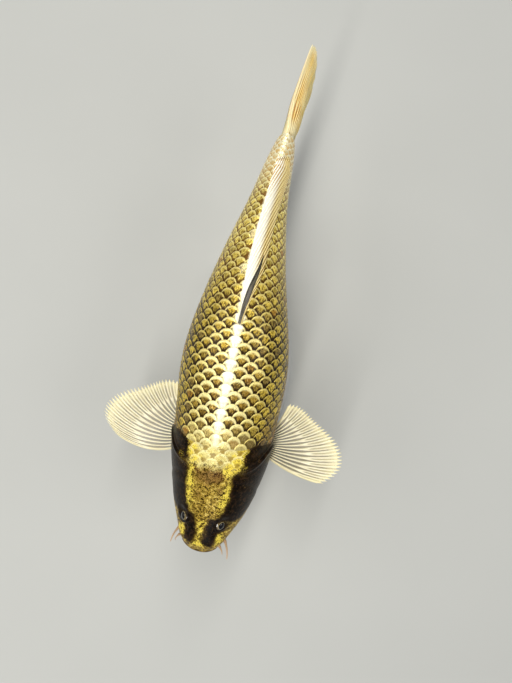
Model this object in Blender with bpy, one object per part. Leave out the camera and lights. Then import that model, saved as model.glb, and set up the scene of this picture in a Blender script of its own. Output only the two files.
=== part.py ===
"""Koi carp, a still life-size model on a plain display stand.

Metres, +Z up.  The head points to -Y and the tail to +Y, so the fish's own
left side is +X.  The origin is the middle of the underside of the base.

The body is one smooth form, given by a few length-wise curves: half width,
back line, belly line and the level of the widest point.  It is parted into
named pieces with thin cuts.  Everything on the fish is laid out straight, as
(s, x, z) with s measured back from the snout, and then carried onto a gently
bent spine by place().
"""

import math

import bmesh
import bpy
import numpy as np
from mathutils import Vector

for old in list(bpy.data.objects):
    bpy.data.objects.remove(old, do_unlink=True)

MM = 0.001

# ---- driving sizes, in millimetres unless named otherwise -------------------
BODY_LENGTH = 294.0        # snout to the end of the flesh at the tail root
TOTAL_LENGTH = 344.0       # snout to the tail fin's upper tip
AXIS_HEIGHT = 92.0         # body axis above the floor
CUT = 0.34                 # thin cut left between neighbouring pieces
AROUND = 32                # facets round the body
FIN_EDGE = 0.6             # fin thickness at its margin
FIN_ROOT = 1.5             # fin thickness at its root
END_WALL = 5.0             # depth of the square part of a cut face

# the snout's place in plan, and the spine's heading there and further back
SNOUT_X, SNOUT_Y = -28.8, -133.4
HEADING_AT = (0, 70, 130, 175, 215, 255, 290, 350)
HEADING_DEG = (15.3, 11.6, 9.0, 10.3, 13.6, 15.6, 17.6, 15.0)
HEAD_ROLL_DEG = -5.5       # the back leans a little to the fish's right
ROLL_FADES = (60.0, 175.0)  # ... and stands upright again behind this

# length-wise curves of the body
STATIONS = (0, 4, 8, 15, 22, 29, 36, 43, 57, 71, 85, 106, 127, 141, 155,
            170, 184, 198, 212, 226, 240, 254, 268, 282, 294)
HALF_WIDTH = (0, 11.0, 15.0, 18.6, 21.9, 24.8, 27.2, 29.0, 31.5, 33.5, 34.7,
              36.2, 37.1, 36.4, 34.3, 31.2, 28.0, 24.7, 21.5, 18.3, 15.2,
              12.7, 10.8, 8.6, 5.8)
BACK = (-5.0, 1.4, 4.6, 8.6, 12.4, 15.8, 19.0, 22.0, 26.8, 31.0, 34.6, 39.0,
        42.0, 43.0, 43.2, 42.0, 40.0, 37.2, 33.8, 30.0, 26.2, 22.6, 19.6,
        17.6, 17.4)
BELLY = (-5.0, -11.2, -14.2, -17.8, -20.6, -23.2, -25.6, -27.8, -31.0, -33.8,
         -36.2, -39.2, -41.0, -41.2, -40.4, -38.8, -36.8, -34.4, -31.4,
         -27.4, -23.4, -20.4, -18.4, -17.2, -17.4)
WIDEST = (-5.0, -5.6, -6.0, -6.6, -7.0, -7.0, -6.6, -6.2, -5.2, -4.2, -3.4,
          -2.4, -1.4, -0.8, -0.4, 0, 0, 0, 0, 0, 0, 0, 0, 0, 0)

# gill cover: its rear edge swings back at the middle of the flank
GILL_TOP, GILL_BACK, GILL_THROAT = 68.0, 84.5, 60.0
GILL_FRONT = 55.0          # front edge of the gill cover
GILL_DEPTH = 3.6           # thickness of the gill cover

EYE_RADIUS = 5.0
EYE_S, EYE_X, EYE_Z = 26.4, 10.5, 7.5

DORSAL_START, DORSAL_END, DORSAL_TIPS = 160.0, 258.0, 276.0
SPINE_TIP = 203.0          # tip of the folded front spine
ANAL_START, ANAL_END = 221.0, 243.0

BASE_LENGTH, BASE_WIDTH, BASE_THICK = 160.0, 86.0, 8.0
ROD_RADIUS = 2.6
ROD_AT = (104.0, 196.0)    # where the two rods meet the belly

COLOURS = {                # base colour, roughness, metallic
    "skin": ((0.42, 0.33, 0.10), 0.35, 0.35),
    "head": ((0.45, 0.36, 0.08), 0.28, 0.45),
    "fin": ((0.72, 0.66, 0.45), 0.40, 0.10),
    "spine": ((0.12, 0.12, 0.12), 0.40, 0.10),
    "lip": ((0.40, 0.28, 0.14), 0.40, 0.05),
    "eye": ((0.02, 0.02, 0.02), 0.05, 0.00),
    "base": ((0.05, 0.05, 0.055), 0.45, 0.10),
    "rod": ((0.55, 0.56, 0.58), 0.25, 1.00),
}


# ---- curves -----------------------------------------------------------------
def smooth_curve(xs, ys):
    """Natural cubic through a few stations; returns a function of one number."""
    xs, ys = np.asarray(xs, float), np.asarray(ys, float)
    n, h = len(xs), np.diff(np.asarray(xs, float))
    a, b = np.eye(n), np.zeros(n)
    for i in range(1, n - 1):
        a[i, i - 1:i + 2] = h[i - 1], 2 * (h[i - 1] + h[i]), h[i]
        b[i] = 6 * ((ys[i + 1] - ys[i]) / h[i] - (ys[i] - ys[i - 1]) / h[i - 1])
    m = np.linalg.solve(a, b)

    def at(x):
        i = int(min(max(np.searchsorted(xs, x) - 1, 0), n - 2))
        t, u = xs[i + 1] - x, x - xs[i]
        return (m[i] * t ** 3 + m[i + 1] * u ** 3) / (6 * h[i]) \
            + (ys[i] / h[i] - m[i] * h[i] / 6) * t \
            + (ys[i + 1] / h[i] - m[i + 1] * h[i] / 6) * u
    return at


def blunt(ys):
    """A body curve read in the root of s, so that the snout comes out round."""
    f = smooth_curve([math.sqrt(s) for s in STATIONS], ys)
    return lambda s: f(math.sqrt(max(s, 0.0)))


half_width, back, belly, widest = map(blunt, (HALF_WIDTH, BACK, BELLY, WIDEST))
heading_deg = smooth_curve(HEADING_AT, HEADING_DEG)


def ease(a, b, x):
    t = min(max((x - a) / (b - a), 0.0), 1.0)
    return t * t * (3 - 2 * t)


# the spine, walked once in half-millimetre steps
STEP = 0.5
spine_points = [(SNOUT_X, SNOUT_Y)]
for k in range(int(370 / STEP)):
    ang = math.radians(heading_deg(min((k + 0.5) * STEP, 350.0)))
    x, y = spine_points[-1]
    spine_points.append((x + STEP * math.sin(ang), y + STEP * math.cos(ang)))


def place(s, x, z):
    """Carry a straight-laid point onto the bent, slightly rolled spine."""
    ang = math.radians(heading_deg(min(max(s, 0.0), 350.0)))
    k = min(max(s, 0.0) / STEP, len(spine_points) - 1.001)
    i, f = int(k), k - int(k)
    ax = spine_points[i][0] * (1 - f) + spine_points[i + 1][0] * f
    ay = spine_points[i][1] * (1 - f) + spine_points[i + 1][1] * f
    over = min(s, 0.0)
    ax += over * math.sin(ang)
    ay += over * math.cos(ang)
    roll = math.radians(HEAD_ROLL_DEG * (1 - ease(*ROLL_FADES, s)))
    xr = x * math.cos(roll) + z * math.sin(roll)
    zr = z * math.cos(roll) - x * math.sin(roll)
    return Vector((ax + xr * math.cos(ang), ay - xr * math.sin(ang), AXIS_HEIGHT + zr)) * MM


# ---- the body's surface -----------------------------------------------------
def gill_edge(a):
    """s of the gill cover's rear edge at the angle a round the body."""
    c = math.cos(a)
    top = GILL_BACK + (GILL_TOP - GILL_BACK) * ease(0.10, 0.92, c)
    return top + (GILL_THROAT - GILL_BACK) * ease(0.05, 0.90, -c)


def skin(s, a, out=0.0):
    """Straight-laid surface point; a = 0 on the back, +90 deg on the left side."""
    w, t, b, c = half_width(s), back(s), belly(s), widest(s)
    ca, sa = math.cos(a), math.sin(a)
    upper = ca >= 0
    roof = 0.36 * ease(2, 20, s) * (1 - ease(42, 78, s))   # flatter sides to the head
    n = (2.12 - roof if upper else 2.25) - 0.10 * ease(200, 280, s)
    e = 2.0 / n
    x = w * math.copysign(abs(sa) ** e, sa)
    z = c + (t - c if upper else c - b) * math.copysign(abs(ca) ** e, ca)
    # the gill covers stand a little proud of the flank behind them
    side = ease(0.05, 0.75, abs(sa))
    bulge = 1.1 * side * ease(38, 74, s) * (1 - ease(-1.0, 5.0, s - gill_edge(a)))
    k = (bulge + out) / max(math.hypot(x, z - c), 1e-6)
    return s, x * (1 + k), z + (z - c) * k


def flank(s, z):
    """Half width of the body at s and height z, or 0 clear above or below it."""
    lo, hi = 0.0, math.pi
    for _ in range(30):
        mid = (lo + hi) / 2
        if skin(s, mid)[2] > z:
            lo = mid
        else:
            hi = mid
    return skin(s, (lo + hi) / 2)[1]


# ---- building helpers -------------------------------------------------------
def material(kind):
    name = "koi_" + kind
    mat = bpy.data.materials.get(name)
    if mat is None:
        colour, rough, metal = COLOURS[kind]
        mat = bpy.data.materials.new(name)
        mat.use_nodes = True
        shader = mat.node_tree.nodes["Principled BSDF"]
        shader.inputs["Base Color"].default_value = (*colour, 1)
        shader.inputs["Roughness"].default_value = rough
        shader.inputs["Metallic"].default_value = metal
    return mat


def make(name, verts, faces, kind, cutter=False):
    mesh = bpy.data.meshes.new(name)
    mesh.from_pydata([tuple(v) for v in verts], [], faces)
    bm = bmesh.new()
    bm.from_mesh(mesh)
    bmesh.ops.recalc_face_normals(bm, faces=bm.faces)
    if bm.calc_volume(signed=True) < 0:
        bmesh.ops.reverse_faces(bm, faces=bm.faces)
    bm.to_mesh(mesh)
    bm.free()
    mesh.shade_smooth()
    mesh.set_sharp_from_angle(angle=math.radians(50))
    ob = bpy.data.objects.new(name, mesh)
    ob.data.materials.append(material(kind))
    bpy.context.collection.objects.link(ob)
    if cutter:
        ob.hide_render = True
        ob.display_type = "WIRE"
    return ob


def cut_with(ob, cutter):
    mod = ob.modifiers.new("cut_" + cutter.name, "BOOLEAN")
    mod.operation = "DIFFERENCE"
    mod.solver = "EXACT"
    mod.object = cutter


def loft(name, rings, kind, front, rear):
    """Closed skin over rings of equal length; each end closes on one point."""
    n = len(rings[0])
    verts = [p for r in rings for p in r] + [front, rear]
    faces = []
    for i in range(len(rings) - 1):
        for j in range(n):
            k = (j + 1) % n
            faces.append((i * n + j, i * n + k, (i + 1) * n + k, (i + 1) * n + j))
    f, r, last = len(verts) - 2, len(verts) - 1, (len(rings) - 1) * n
    for j in range(n):
        k = (j + 1) % n
        faces.append((f, k, j))
        faces.append((r, last + j, last + k))
    return make(name, verts, faces, kind)


ANGLES = [2 * math.pi * (j + 0.5) / AROUND for j in range(AROUND)]


def body_piece(name, kind, start, end, steps, snout=False):
    """A length of the body between two edges, each an s at every angle.  A cut
    face runs square to the surface for END_WALL before it closes on the axis."""
    def wall(edge):
        return [place(*skin(edge(a), a, -END_WALL)) for a in ANGLES]

    rings = []
    for i in range(steps + 1):
        t = i / steps
        if snout:
            t = (0.012 + 0.988 * t) ** 1.35
        rings.append([place(*skin(start(a) + (end(a) - start(a)) * t, a)) for a in ANGLES])
    if not snout:
        rings.insert(0, wall(start))
    if half_width(end(0.0)) > 2 * END_WALL:
        rings.append(wall(end))
    mid0 = sum(start(a) for a in ANGLES) / AROUND
    mid1 = sum(end(a) for a in ANGLES) / AROUND
    front = place(0, 0, widest(0)) if snout else place(mid0, 0, widest(mid0))
    return loft(name, rings, kind, front, place(mid1, 0, widest(mid1)))


def level(s):
    return lambda a: s


def patch(name, kind, s_lo, s_hi, angles, deep, out, nu, cutter=False):
    """A curved plate on the body between two edges s_lo(a)..s_hi(a)."""
    top, low, nv = [], [], len(angles) - 1
    for i in range(nu + 1):
        for a in angles:
            s = s_lo(a) + (s_hi(a) - s_lo(a)) * i / nu
            top.append(place(*skin(s, a, out)))
            low.append(place(*skin(s, a, -deep)))
    m, w = len(top), nv + 1
    faces = []
    for i in range(nu):
        for j in range(nv):
            q = (i * w + j, i * w + j + 1, (i + 1) * w + j + 1, (i + 1) * w + j)
            faces.append(q)
            faces.append(tuple(m + k for k in reversed(q)))
    rim = [j for j in range(nv)] + [i * w + nv for i in range(nu)] \
        + [nu * w + j for j in range(nv, 0, -1)] + [i * w for i in range(nu, 0, -1)]
    for a, b in zip(rim, rim[1:] + rim[:1]):
        faces.append((b, a, m + a, m + b))
    return make(name, top + low, faces, kind, cutter)


def tube(name, kind, path, radii, sides=8, cutter=False):
    """A closed tapering tube along straight-laid points (already placed)."""
    rings = []
    for i, p in enumerate(path):
        d = (path[min(i + 1, len(path) - 1)] - path[max(i - 1, 0)]).normalized()
        u = d.cross(Vector((0, 0, 1)))
        u = u.normalized() if u.length > 1e-6 else Vector((1, 0, 0))
        v = d.cross(u)
        rings.append([p + (u * math.cos(2 * math.pi * k / sides)
                           + v * math.sin(2 * math.pi * k / sides)) * radii[i] * MM
                      for k in range(sides)])
    ob = loft(name, rings, kind, path[0], path[-1])
    if cutter:
        ob.hide_render = True
        ob.display_type = "WIRE"
    return ob


def ball(name, kind, centre, radius, segments=16, cutter=False):
    bm = bmesh.new()
    bmesh.ops.create_uvsphere(bm, u_segments=segments, v_segments=segments // 2,
                              radius=radius * MM)
    mesh = bpy.data.meshes.new(name)
    bm.to_mesh(mesh)
    bm.free()
    mesh.shade_smooth()
    ob = bpy.data.objects.new(name, mesh)
    ob.location = centre
    ob.data.materials.append(material(kind))
    bpy.context.collection.objects.link(ob)
    if cutter:
        ob.hide_render = True
        ob.display_type = "WIRE"
    return ob


def fin(name, kind, surface, rays, steps, root=FIN_ROOT, edge=FIN_EDGE):
    """A thin closed fin.  surface(u, v) is its middle sheet, u across the rays
    and v from root to margin; it is thickest at the root and front edge."""
    mid = [[Vector(surface(i / rays, j / steps)) for j in range(steps + 1)]
           for i in range(rays + 1)]
    top, low = [], []
    for i in range(rays + 1):
        for j in range(steps + 1):
            du = mid[min(i + 1, rays)][j] - mid[max(i - 1, 0)][j]
            dv = mid[i][min(j + 1, steps)] - mid[i][max(j - 1, 0)]
            nrm = du.cross(dv)
            if nrm.length < 1e-9:
                nrm = Vector((0, 0, 1))
            nrm.normalize()
            thick = edge + (root - edge) * (1 - j / steps) ** 1.5
            top.append(place(*(mid[i][j] + nrm * thick / 2)))
            low.append(place(*(mid[i][j] - nrm * thick / 2)))
    m, w = len(top), steps + 1
    faces = []
    for i in range(rays):
        for j in range(steps):
            q = (i * w + j, i * w + j + 1, (i + 1) * w + j + 1, (i + 1) * w + j)
            faces.append(q)
            faces.append(tuple(m + k for k in reversed(q)))
    rim = [j for j in range(steps)] + [i * w + steps for i in range(rays)] \
        + [rays * w + j for j in range(steps, 0, -1)] + [i * w for i in range(rays, 0, -1)]
    for a, b in zip(rim, rim[1:] + rim[:1]):
        faces.append((b, a, m + a, m + b))
    return make(name, top + low, faces, kind)


# ---- head -------------------------------------------------------------------
head = body_piece("head", "head", level(0.0), lambda a: gill_edge(a) - CUT / 2, 13, snout=True)

# eyes: round balls set into the upper sides of the head
for side, tag in ((1, "left"), (-1, "right")):
    centre = place(EYE_S, side * EYE_X, EYE_Z)
    ball("eye_" + tag, "eye", centre, EYE_RADIUS)
    cut_with(head, ball("cut_eye_" + tag, "eye", centre, EYE_RADIUS + CUT, 20, cutter=True))

# gill covers: plates between the cheek and the gill opening
for side, tag in ((1, "left"), (-1, "right")):
    facets = [side * ANGLES[j] for j in range(4, 12)]
    grow = math.radians(0.9) * side

    def cheek(a):
        return GILL_FRONT + 4.0 * ease(-0.2, 0.7, math.cos(a)) + 1.5 * math.sin(3 * a) * side

    patch("gill_cover_" + tag, "head", cheek, lambda a: gill_edge(a) - CUT / 2,
          facets, GILL_DEPTH, 0.0, 6)
    cut_with(head, patch("cut_gill_" + tag, "head", lambda a: cheek(a) - CUT,
                         lambda a: gill_edge(a) + 3.0,
                         [facets[0] - grow] + facets + [facets[-1] + grow],
                         GILL_DEPTH + CUT, 3.0, 6, cutter=True))

# lips: two rounded rims round the mouth, the upper one reaching further
def lip_path(reach, half, drop, level_z, corner_s, n=12):
    pts = []
    for i in range(n + 1):
        q = math.pi * i / n
        pts.append((corner_s - (corner_s - reach) * math.sin(q) ** 0.85,
                    half * math.cos(q), level_z - drop * (1 - math.sin(q))))
    return pts


def lip(name, path, fat, thin):
    n = len(path) - 1
    radii = [thin + (fat - thin) * math.sin(math.pi * i / n) for i in range(n + 1)]
    pts = [place(*p) for p in path]
    tube(name, "lip", pts, radii, 8)
    cut_with(head, tube("cut_" + name, "lip", pts, [r + CUT for r in radii], 10, cutter=True))


UPPER_LIP = lip_path(1.6, 12.4, 2.2, -4.6, 9.0)
LOWER_LIP = lip_path(3.4, 10.6, 0.6, -9.3, 9.6)
lip("upper_lip", UPPER_LIP, 2.1, 1.3)
lip("lower_lip", LOWER_LIP, 1.9, 1.2)

# barbels: a short pair above the lip and a longer pair at the mouth's corners
for side, tag in ((1, "left"), (-1, "right")):
    for kind, root, knee, tip, fat in (
            ("upper", (7.6, 14.6, -3.2), (3.6, 17.6, -5.6), (0.2, 17.4, -9.4), 0.75),
            ("lower", (10.4, 16.9, -8.2), (4.0, 20.6, -11.2), (-4.4, 21.4, -15.6), 0.95)):
        root, knee, tip = (Vector((p[0], side * p[1], p[2])) for p in (root, knee, tip))
        pts, radii = [], []
        for i in range(8):
            t = i / 7
            p = root * (1 - t) ** 2 + knee * 2 * t * (1 - t) + tip * t * t
            pts.append(place(*p))
            radii.append(fat * (1 - 0.62 * t))
        tube("barbel_%s_%s" % (kind, tag), "lip", pts, radii, 6)
        cut_with(head, tube("cut_barbel_%s_%s" % (kind, tag), "lip", pts[:4],
                            [r + CUT for r in radii[:4]], 8, cutter=True))

# ---- trunk and tail root ----------------------------------------------------
body_piece("trunk_front", "skin", lambda a: gill_edge(a) + CUT / 2, level(140.0 - CUT / 2), 8)
body_piece("trunk_middle", "skin", level(140.0 + CUT / 2), level(200.0 - CUT / 2), 6)
body_piece("trunk_rear", "skin", level(200.0 + CUT / 2), level(250.0 - CUT / 2), 5)
body_piece("tail_root", "skin", level(250.0 + CUT / 2), level(BODY_LENGTH), 5)


# ---- fins -------------------------------------------------------------------
def clear_of_body(s, x, z, gap=1.3):
    """Push a point sideways until it stands clear of the flank."""
    if 0 < s < BODY_LENGTH and belly(s) - gap < z < back(s) + gap:
        need = flank(s, min(max(z, belly(s) + 0.5), back(s) - 0.5)) + gap
        if abs(x) < need:
            x = math.copysign(need, x)
    return s, x, z


# pectoral fins: fans spread out level from low behind the gill covers
PECTORAL_U = (0.0, 0.15, 0.30, 0.45, 0.60, 0.75, 0.90, 1.0)
PECTORAL_ANGLE = smooth_curve(PECTORAL_U, (-23, -13, -4, 5, 15, 27, 42, 55))
PECTORAL_LENGTH = smooth_curve(PECTORAL_U, (50, 58.5, 58.5, 52.5, 44, 37.5, 33, 28))


def pectoral(side, swing, sweep, root_s, scale):
    def surface(u, v):
        root = Vector(clear_of_body(root_s + 12.0 * u, side * 20.0, -27.0 + 3.0 * u, 1.1))
        ang = math.radians(PECTORAL_ANGLE(u) + swing)
        reach = PECTORAL_LENGTH(u) * scale
        bow = math.radians(-sweep * (1 - 0.5 * u)) * (1 - v)   # rays start out forward
        x = reach * v * math.cos(ang + bow)
        s = reach * v * math.sin(ang + bow)
        rise = 10.0 * v ** 1.3 - 5.0 * v * u + 1.0 * math.sin(math.pi * v)
        p = root + Vector((s, side * x, rise))
        return clear_of_body(*p, gap=1.1)
    return surface


fin("pectoral_fin_left", "fin", pectoral(1, 10.0, 16.0, 73.0, 1.0), 15, 7)
fin("pectoral_fin_right", "fin", pectoral(-1, 15.0, 44.0, 71.0, 1.13), 15, 7)


# pelvic fins: half spread under the belly
def pelvic(side):
    def surface(u, v):
        s0 = 146.0 + 9.0 * u
        root = Vector((s0, side * (13.5 - 3.0 * u), 0.0))
        root.z = skin(s0, math.pi - math.asin(min(abs(root.y) / half_width(s0), 1.0)))[2] - 1.6
        reach = 41.0 - 15.0 * u ** 1.4
        ang = math.radians(67 + 19 * u)                # from outward round to rearward
        return root + Vector((reach * v * math.sin(ang), side * reach * v * math.cos(ang) * 0.9,
                              -9.0 * v * (1 - 0.3 * u) + 3.0 * v * v))
    return surface


fin("pelvic_fin_left", "fin", pelvic(1), 9, 5, root=1.3)
fin("pelvic_fin_right", "fin", pelvic(-1), 9, 5, root=1.3)


# anal fin: swept back below the tail root
def anal(u, v):
    s0 = ANAL_START + (ANAL_END - ANAL_START) * u
    reach = 36.0 * (1 - 0.62 * u)
    ang = math.radians(48 - 14 * u)
    return Vector((s0 + reach * v * math.cos(ang) , 0.0 + 1.2 * math.sin(math.pi * v),
                   belly(s0) - 0.9 - reach * v * math.sin(ang)))


fin("anal_fin", "fin", anal, 10, 6)


# dorsal fin: folded down along the back, leaning over to the fish's left
def dorsal_width(s):
    grow = ease(DORSAL_START - 4, SPINE_TIP - 2, s)
    flare = 0.8 * ease(225, 262, s) - 2.6 * ease(264, DORSAL_TIPS, s)
    return 1.2 + 6.8 * grow + flare


def dorsal_height(s):
    return 0.9 + 2.6 * ease(DORSAL_START, 186, s) * (1 - 0.75 * ease(205, DORSAL_TIPS, s))


def folded_fin(name, kind, s_from, s_to, v_from, v_to, steps):
    rows, nv = [], 4
    for i in range(steps + 1):
        s = s_from + (s_to - s_from) * i / steps
        lo, hi = [], []
        for j in range(nv + 1):
            v = v_from(s) + (v_to(s) - v_from(s)) * j / nv
            x = -1.2 + (dorsal_width(s) + 1.2) * v
            a = math.asin(min(max(x / half_width(s), -1), 1))
            up = dorsal_height(s) * (1 - 0.72 * v ** 1.5)
            lo.append(place(*skin(s, a, 0.75)))
            hi.append(place(*skin(s, a, 0.75 + max(up, FIN_EDGE))))
        rows.append(lo + hi[::-1])
    n = len(rows[0])
    verts = [p for r in rows for p in r]
    faces = [(i * n + j, i * n + (j + 1) % n, (i + 1) * n + (j + 1) % n, (i + 1) * n + j)
             for i in range(steps) for j in range(n)]
    for base in (0, steps * n):                        # the two ends, as strips
        for j in range(nv):
            a, b = base + j, base + j + 1
            c, d = base + n - 2 - j, base + n - 1 - j
            faces.append((a, b, c, d) if base else (d, c, b, a))
    return make(name, verts, faces, kind)


folded_fin("dorsal_fin", "fin", SPINE_TIP + CUT, DORSAL_TIPS, lambda s: 0.0, lambda s: 1.0, 16)
folded_fin("dorsal_fin_front", "spine", DORSAL_START, SPINE_TIP, lambda s: 0.0,
           lambda s: 1.0, 10)


# tail fin: two lobes, a little closed and cupped to one side
def tail_fin(h, v):
    """h runs from -1 at the lower edge to +1 at the upper edge."""
    z0 = 15.6 * h
    s0 = BODY_LENGTH + CUT + 1.2
    reach = 29.0 + (TOTAL_LENGTH - BODY_LENGTH - 28.0) * abs(h) ** 0.75 - 2.6 * ease(0.86, 1.0, abs(h))
    if h < 0:
        reach -= 2.0 * abs(h)
    z = z0 + (31.0 * h - z0) * v ** 0.9
    s = s0 + reach * v
    g = ease(-0.35, 0.36, v)
    cup = 1 - abs(h) ** (4.0 if h > 0 else 1.8)
    edge = -3.2 * h * (1 - 0.6 * v) if h > 0 else 2.4 * h * v
    x = g * (5.9 * cup + edge - 1.2) + 1.7 * v ** 3
    return Vector((s, x, z))


LOBE_GAP = 0.020
fin("tail_fin_upper_lobe", "fin", lambda u, v: tail_fin(LOBE_GAP + (1 - LOBE_GAP) * u, v),
    9, 8, root=4.3, edge=0.7)
fin("tail_fin_lower_lobe", "fin", lambda u, v: tail_fin(-1 + (1 - LOBE_GAP) * u, v),
    9, 8, root=4.3, edge=0.7)


# ---- stand ------------------------------------------------------------------
def oval(cx, cy, rx, ry, z, n=40):
    return [Vector((cx + rx * math.cos(2 * math.pi * k / n),
                    cy + ry * math.sin(2 * math.pi * k / n), z)) * MM for k in range(n)]


CHAMFER = 1.2
rx, ry = BASE_WIDTH / 2, BASE_LENGTH / 2
loft("stand_base", [oval(0, 0, rx, ry, 0.0),
                    oval(0, 0, rx, ry, BASE_THICK - CHAMFER),
                    oval(0, 0, rx - CHAMFER, ry - CHAMFER, BASE_THICK)],
     "base", Vector((0, 0, 0)), Vector((0, 0, BASE_THICK)) * MM)

for s, tag in zip(ROD_AT, ("front", "rear")):
    foot = place(s, 0, belly(s)) / MM
    top = min((place(*skin(s + ds, math.pi + da)) / MM).z
              for ds in (-ROD_RADIUS, 0, ROD_RADIUS) for da in (-0.12, 0, 0.12)) - 0.35
    n = 14
    loft("stand_rod_" + tag, [oval(foot.x, foot.y, ROD_RADIUS, ROD_RADIUS, BASE_THICK + 0.3, n),
                              oval(foot.x, foot.y, ROD_RADIUS, ROD_RADIUS, top, n)],
         "rod", Vector((foot.x, foot.y, BASE_THICK + 0.3)) * MM,
         Vector((foot.x, foot.y, top)) * MM)
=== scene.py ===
"""Koi carp on a plain stand: the looks.

The body's shape is the one of the solids, worked out again here from the same
sizes, so the skin and its coat of scales lie just inside them.  Straight-laid
places are (s, x, z) in millimetres: s back from the snout, x to the fish's
left, z up from its axis.
"""
import math

import bpy
import numpy as np
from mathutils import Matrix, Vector


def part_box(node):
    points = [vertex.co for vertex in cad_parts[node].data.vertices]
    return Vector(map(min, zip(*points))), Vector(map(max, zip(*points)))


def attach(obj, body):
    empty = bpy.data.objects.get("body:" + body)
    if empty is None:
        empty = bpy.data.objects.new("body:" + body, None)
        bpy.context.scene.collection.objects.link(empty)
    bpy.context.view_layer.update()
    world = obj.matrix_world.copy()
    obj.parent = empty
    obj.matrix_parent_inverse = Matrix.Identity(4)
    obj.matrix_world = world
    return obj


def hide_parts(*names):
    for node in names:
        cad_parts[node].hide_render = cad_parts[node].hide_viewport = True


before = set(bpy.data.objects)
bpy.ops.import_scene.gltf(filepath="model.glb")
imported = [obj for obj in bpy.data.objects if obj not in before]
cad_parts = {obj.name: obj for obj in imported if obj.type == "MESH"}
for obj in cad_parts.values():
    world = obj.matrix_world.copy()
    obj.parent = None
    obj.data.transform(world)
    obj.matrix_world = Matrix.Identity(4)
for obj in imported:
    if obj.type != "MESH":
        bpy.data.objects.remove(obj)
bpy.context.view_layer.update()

MM = 0.001
rng = np.random.default_rng(7)

# ---- the solids' sizes, in millimetres --------------------------------------
BODY_LENGTH, TOTAL_LENGTH, AXIS_HEIGHT = 294.0, 344.0, 92.0
SNOUT_X, SNOUT_Y = -28.8, -133.4
HEADING_AT = (0, 70, 130, 175, 215, 255, 290, 350)
HEADING_DEG = (15.3, 11.6, 9.0, 10.3, 13.6, 15.6, 17.6, 15.0)
HEAD_ROLL_DEG, ROLL_FADES = -5.5, (60.0, 175.0)
STATIONS = (0, 4, 8, 15, 22, 29, 36, 43, 57, 71, 85, 106, 127, 141, 155,
            170, 184, 198, 212, 226, 240, 254, 268, 282, 294)
HALF_WIDTH = (0, 11.0, 15.0, 18.6, 21.9, 24.8, 27.2, 29.0, 31.5, 33.5, 34.7,
              36.2, 37.1, 36.4, 34.3, 31.2, 28.0, 24.7, 21.5, 18.3, 15.2,
              12.7, 10.8, 8.6, 5.8)
BACK = (-5.0, 1.4, 4.6, 8.6, 12.4, 15.8, 19.0, 22.0, 26.8, 31.0, 34.6, 39.0,
        42.0, 43.0, 43.2, 42.0, 40.0, 37.2, 33.8, 30.0, 26.2, 22.6, 19.6,
        17.6, 17.4)
BELLY = (-5.0, -11.2, -14.2, -17.8, -20.6, -23.2, -25.6, -27.8, -31.0, -33.8,
         -36.2, -39.2, -41.0, -41.2, -40.4, -38.8, -36.8, -34.4, -31.4,
         -27.4, -23.4, -20.4, -18.4, -17.2, -17.4)
WIDEST = (-5.0, -5.6, -6.0, -6.6, -7.0, -7.0, -6.6, -6.2, -5.2, -4.2, -3.4,
          -2.4, -1.4, -0.8, -0.4, 0, 0, 0, 0, 0, 0, 0, 0, 0, 0)
GILL_TOP, GILL_BACK, GILL_THROAT, GILL_FRONT = 68.0, 84.5, 60.0, 55.0
EYE_RADIUS, EYE_S, EYE_X, EYE_Z = 5.0, 26.4, 10.5, 7.5
DORSAL_START, DORSAL_END, DORSAL_TIPS, SPINE_TIP = 160.0, 258.0, 276.0, 203.0
ANAL_START, ANAL_END = 221.0, 243.0

COAT = 1.45                # depth of the coat of scales below the solids' surface
BARE = 0.12                # the same where the skin is bare


# ---- curves and the bent spine ----------------------------------------------
def smooth_curve(xs, ys):
    xs, ys = np.asarray(xs, float), np.asarray(ys, float)
    n, h = len(xs), np.diff(xs)
    a, b = np.eye(n), np.zeros(n)
    for i in range(1, n - 1):
        a[i, i - 1:i + 2] = h[i - 1], 2 * (h[i - 1] + h[i]), h[i]
        b[i] = 6 * ((ys[i + 1] - ys[i]) / h[i] - (ys[i] - ys[i - 1]) / h[i - 1])
    m = np.linalg.solve(a, b)

    def at(x):
        x = np.asarray(x, float)
        i = np.clip(np.searchsorted(xs, x) - 1, 0, n - 2)
        t, u = xs[i + 1] - x, x - xs[i]
        return (m[i] * t ** 3 + m[i + 1] * u ** 3) / (6 * h[i]) \
            + (ys[i] / h[i] - m[i] * h[i] / 6) * t + (ys[i + 1] / h[i] - m[i + 1] * h[i] / 6) * u
    return at


def ease(a, b, x):
    t = np.clip((np.asarray(x, float) - a) / (b - a), 0.0, 1.0)
    return t * t * (3 - 2 * t)


def blunt(ys):
    f = smooth_curve(np.sqrt(STATIONS), ys)
    return lambda s: f(np.sqrt(np.clip(s, 0.0, 292.0)))


_hw, back0, belly0, widest = map(blunt, (HALF_WIDTH, BACK, BELLY, WIDEST))
heading_deg = smooth_curve(HEADING_AT, HEADING_DEG)


def half_width(s):         # the flesh thins out onto the tail fin's root
    return _hw(s) * (1 - 0.72 * ease(288, 299.5, s))


def back(s):
    return back0(s) - 1.4 * ease(288, 299, s)


def belly(s):
    return belly0(s) + 1.4 * ease(288, 299, s)


STEP = 0.5
_walk = np.radians(heading_deg(np.minimum((np.arange(int(370 / STEP)) + 0.5) * STEP, 350.0)))
SPX = np.concatenate([[SNOUT_X], SNOUT_X + np.cumsum(STEP * np.sin(_walk))])
SPY = np.concatenate([[SNOUT_Y], SNOUT_Y + np.cumsum(STEP * np.cos(_walk))])
SPS = np.arange(len(SPX)) * STEP


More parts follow.
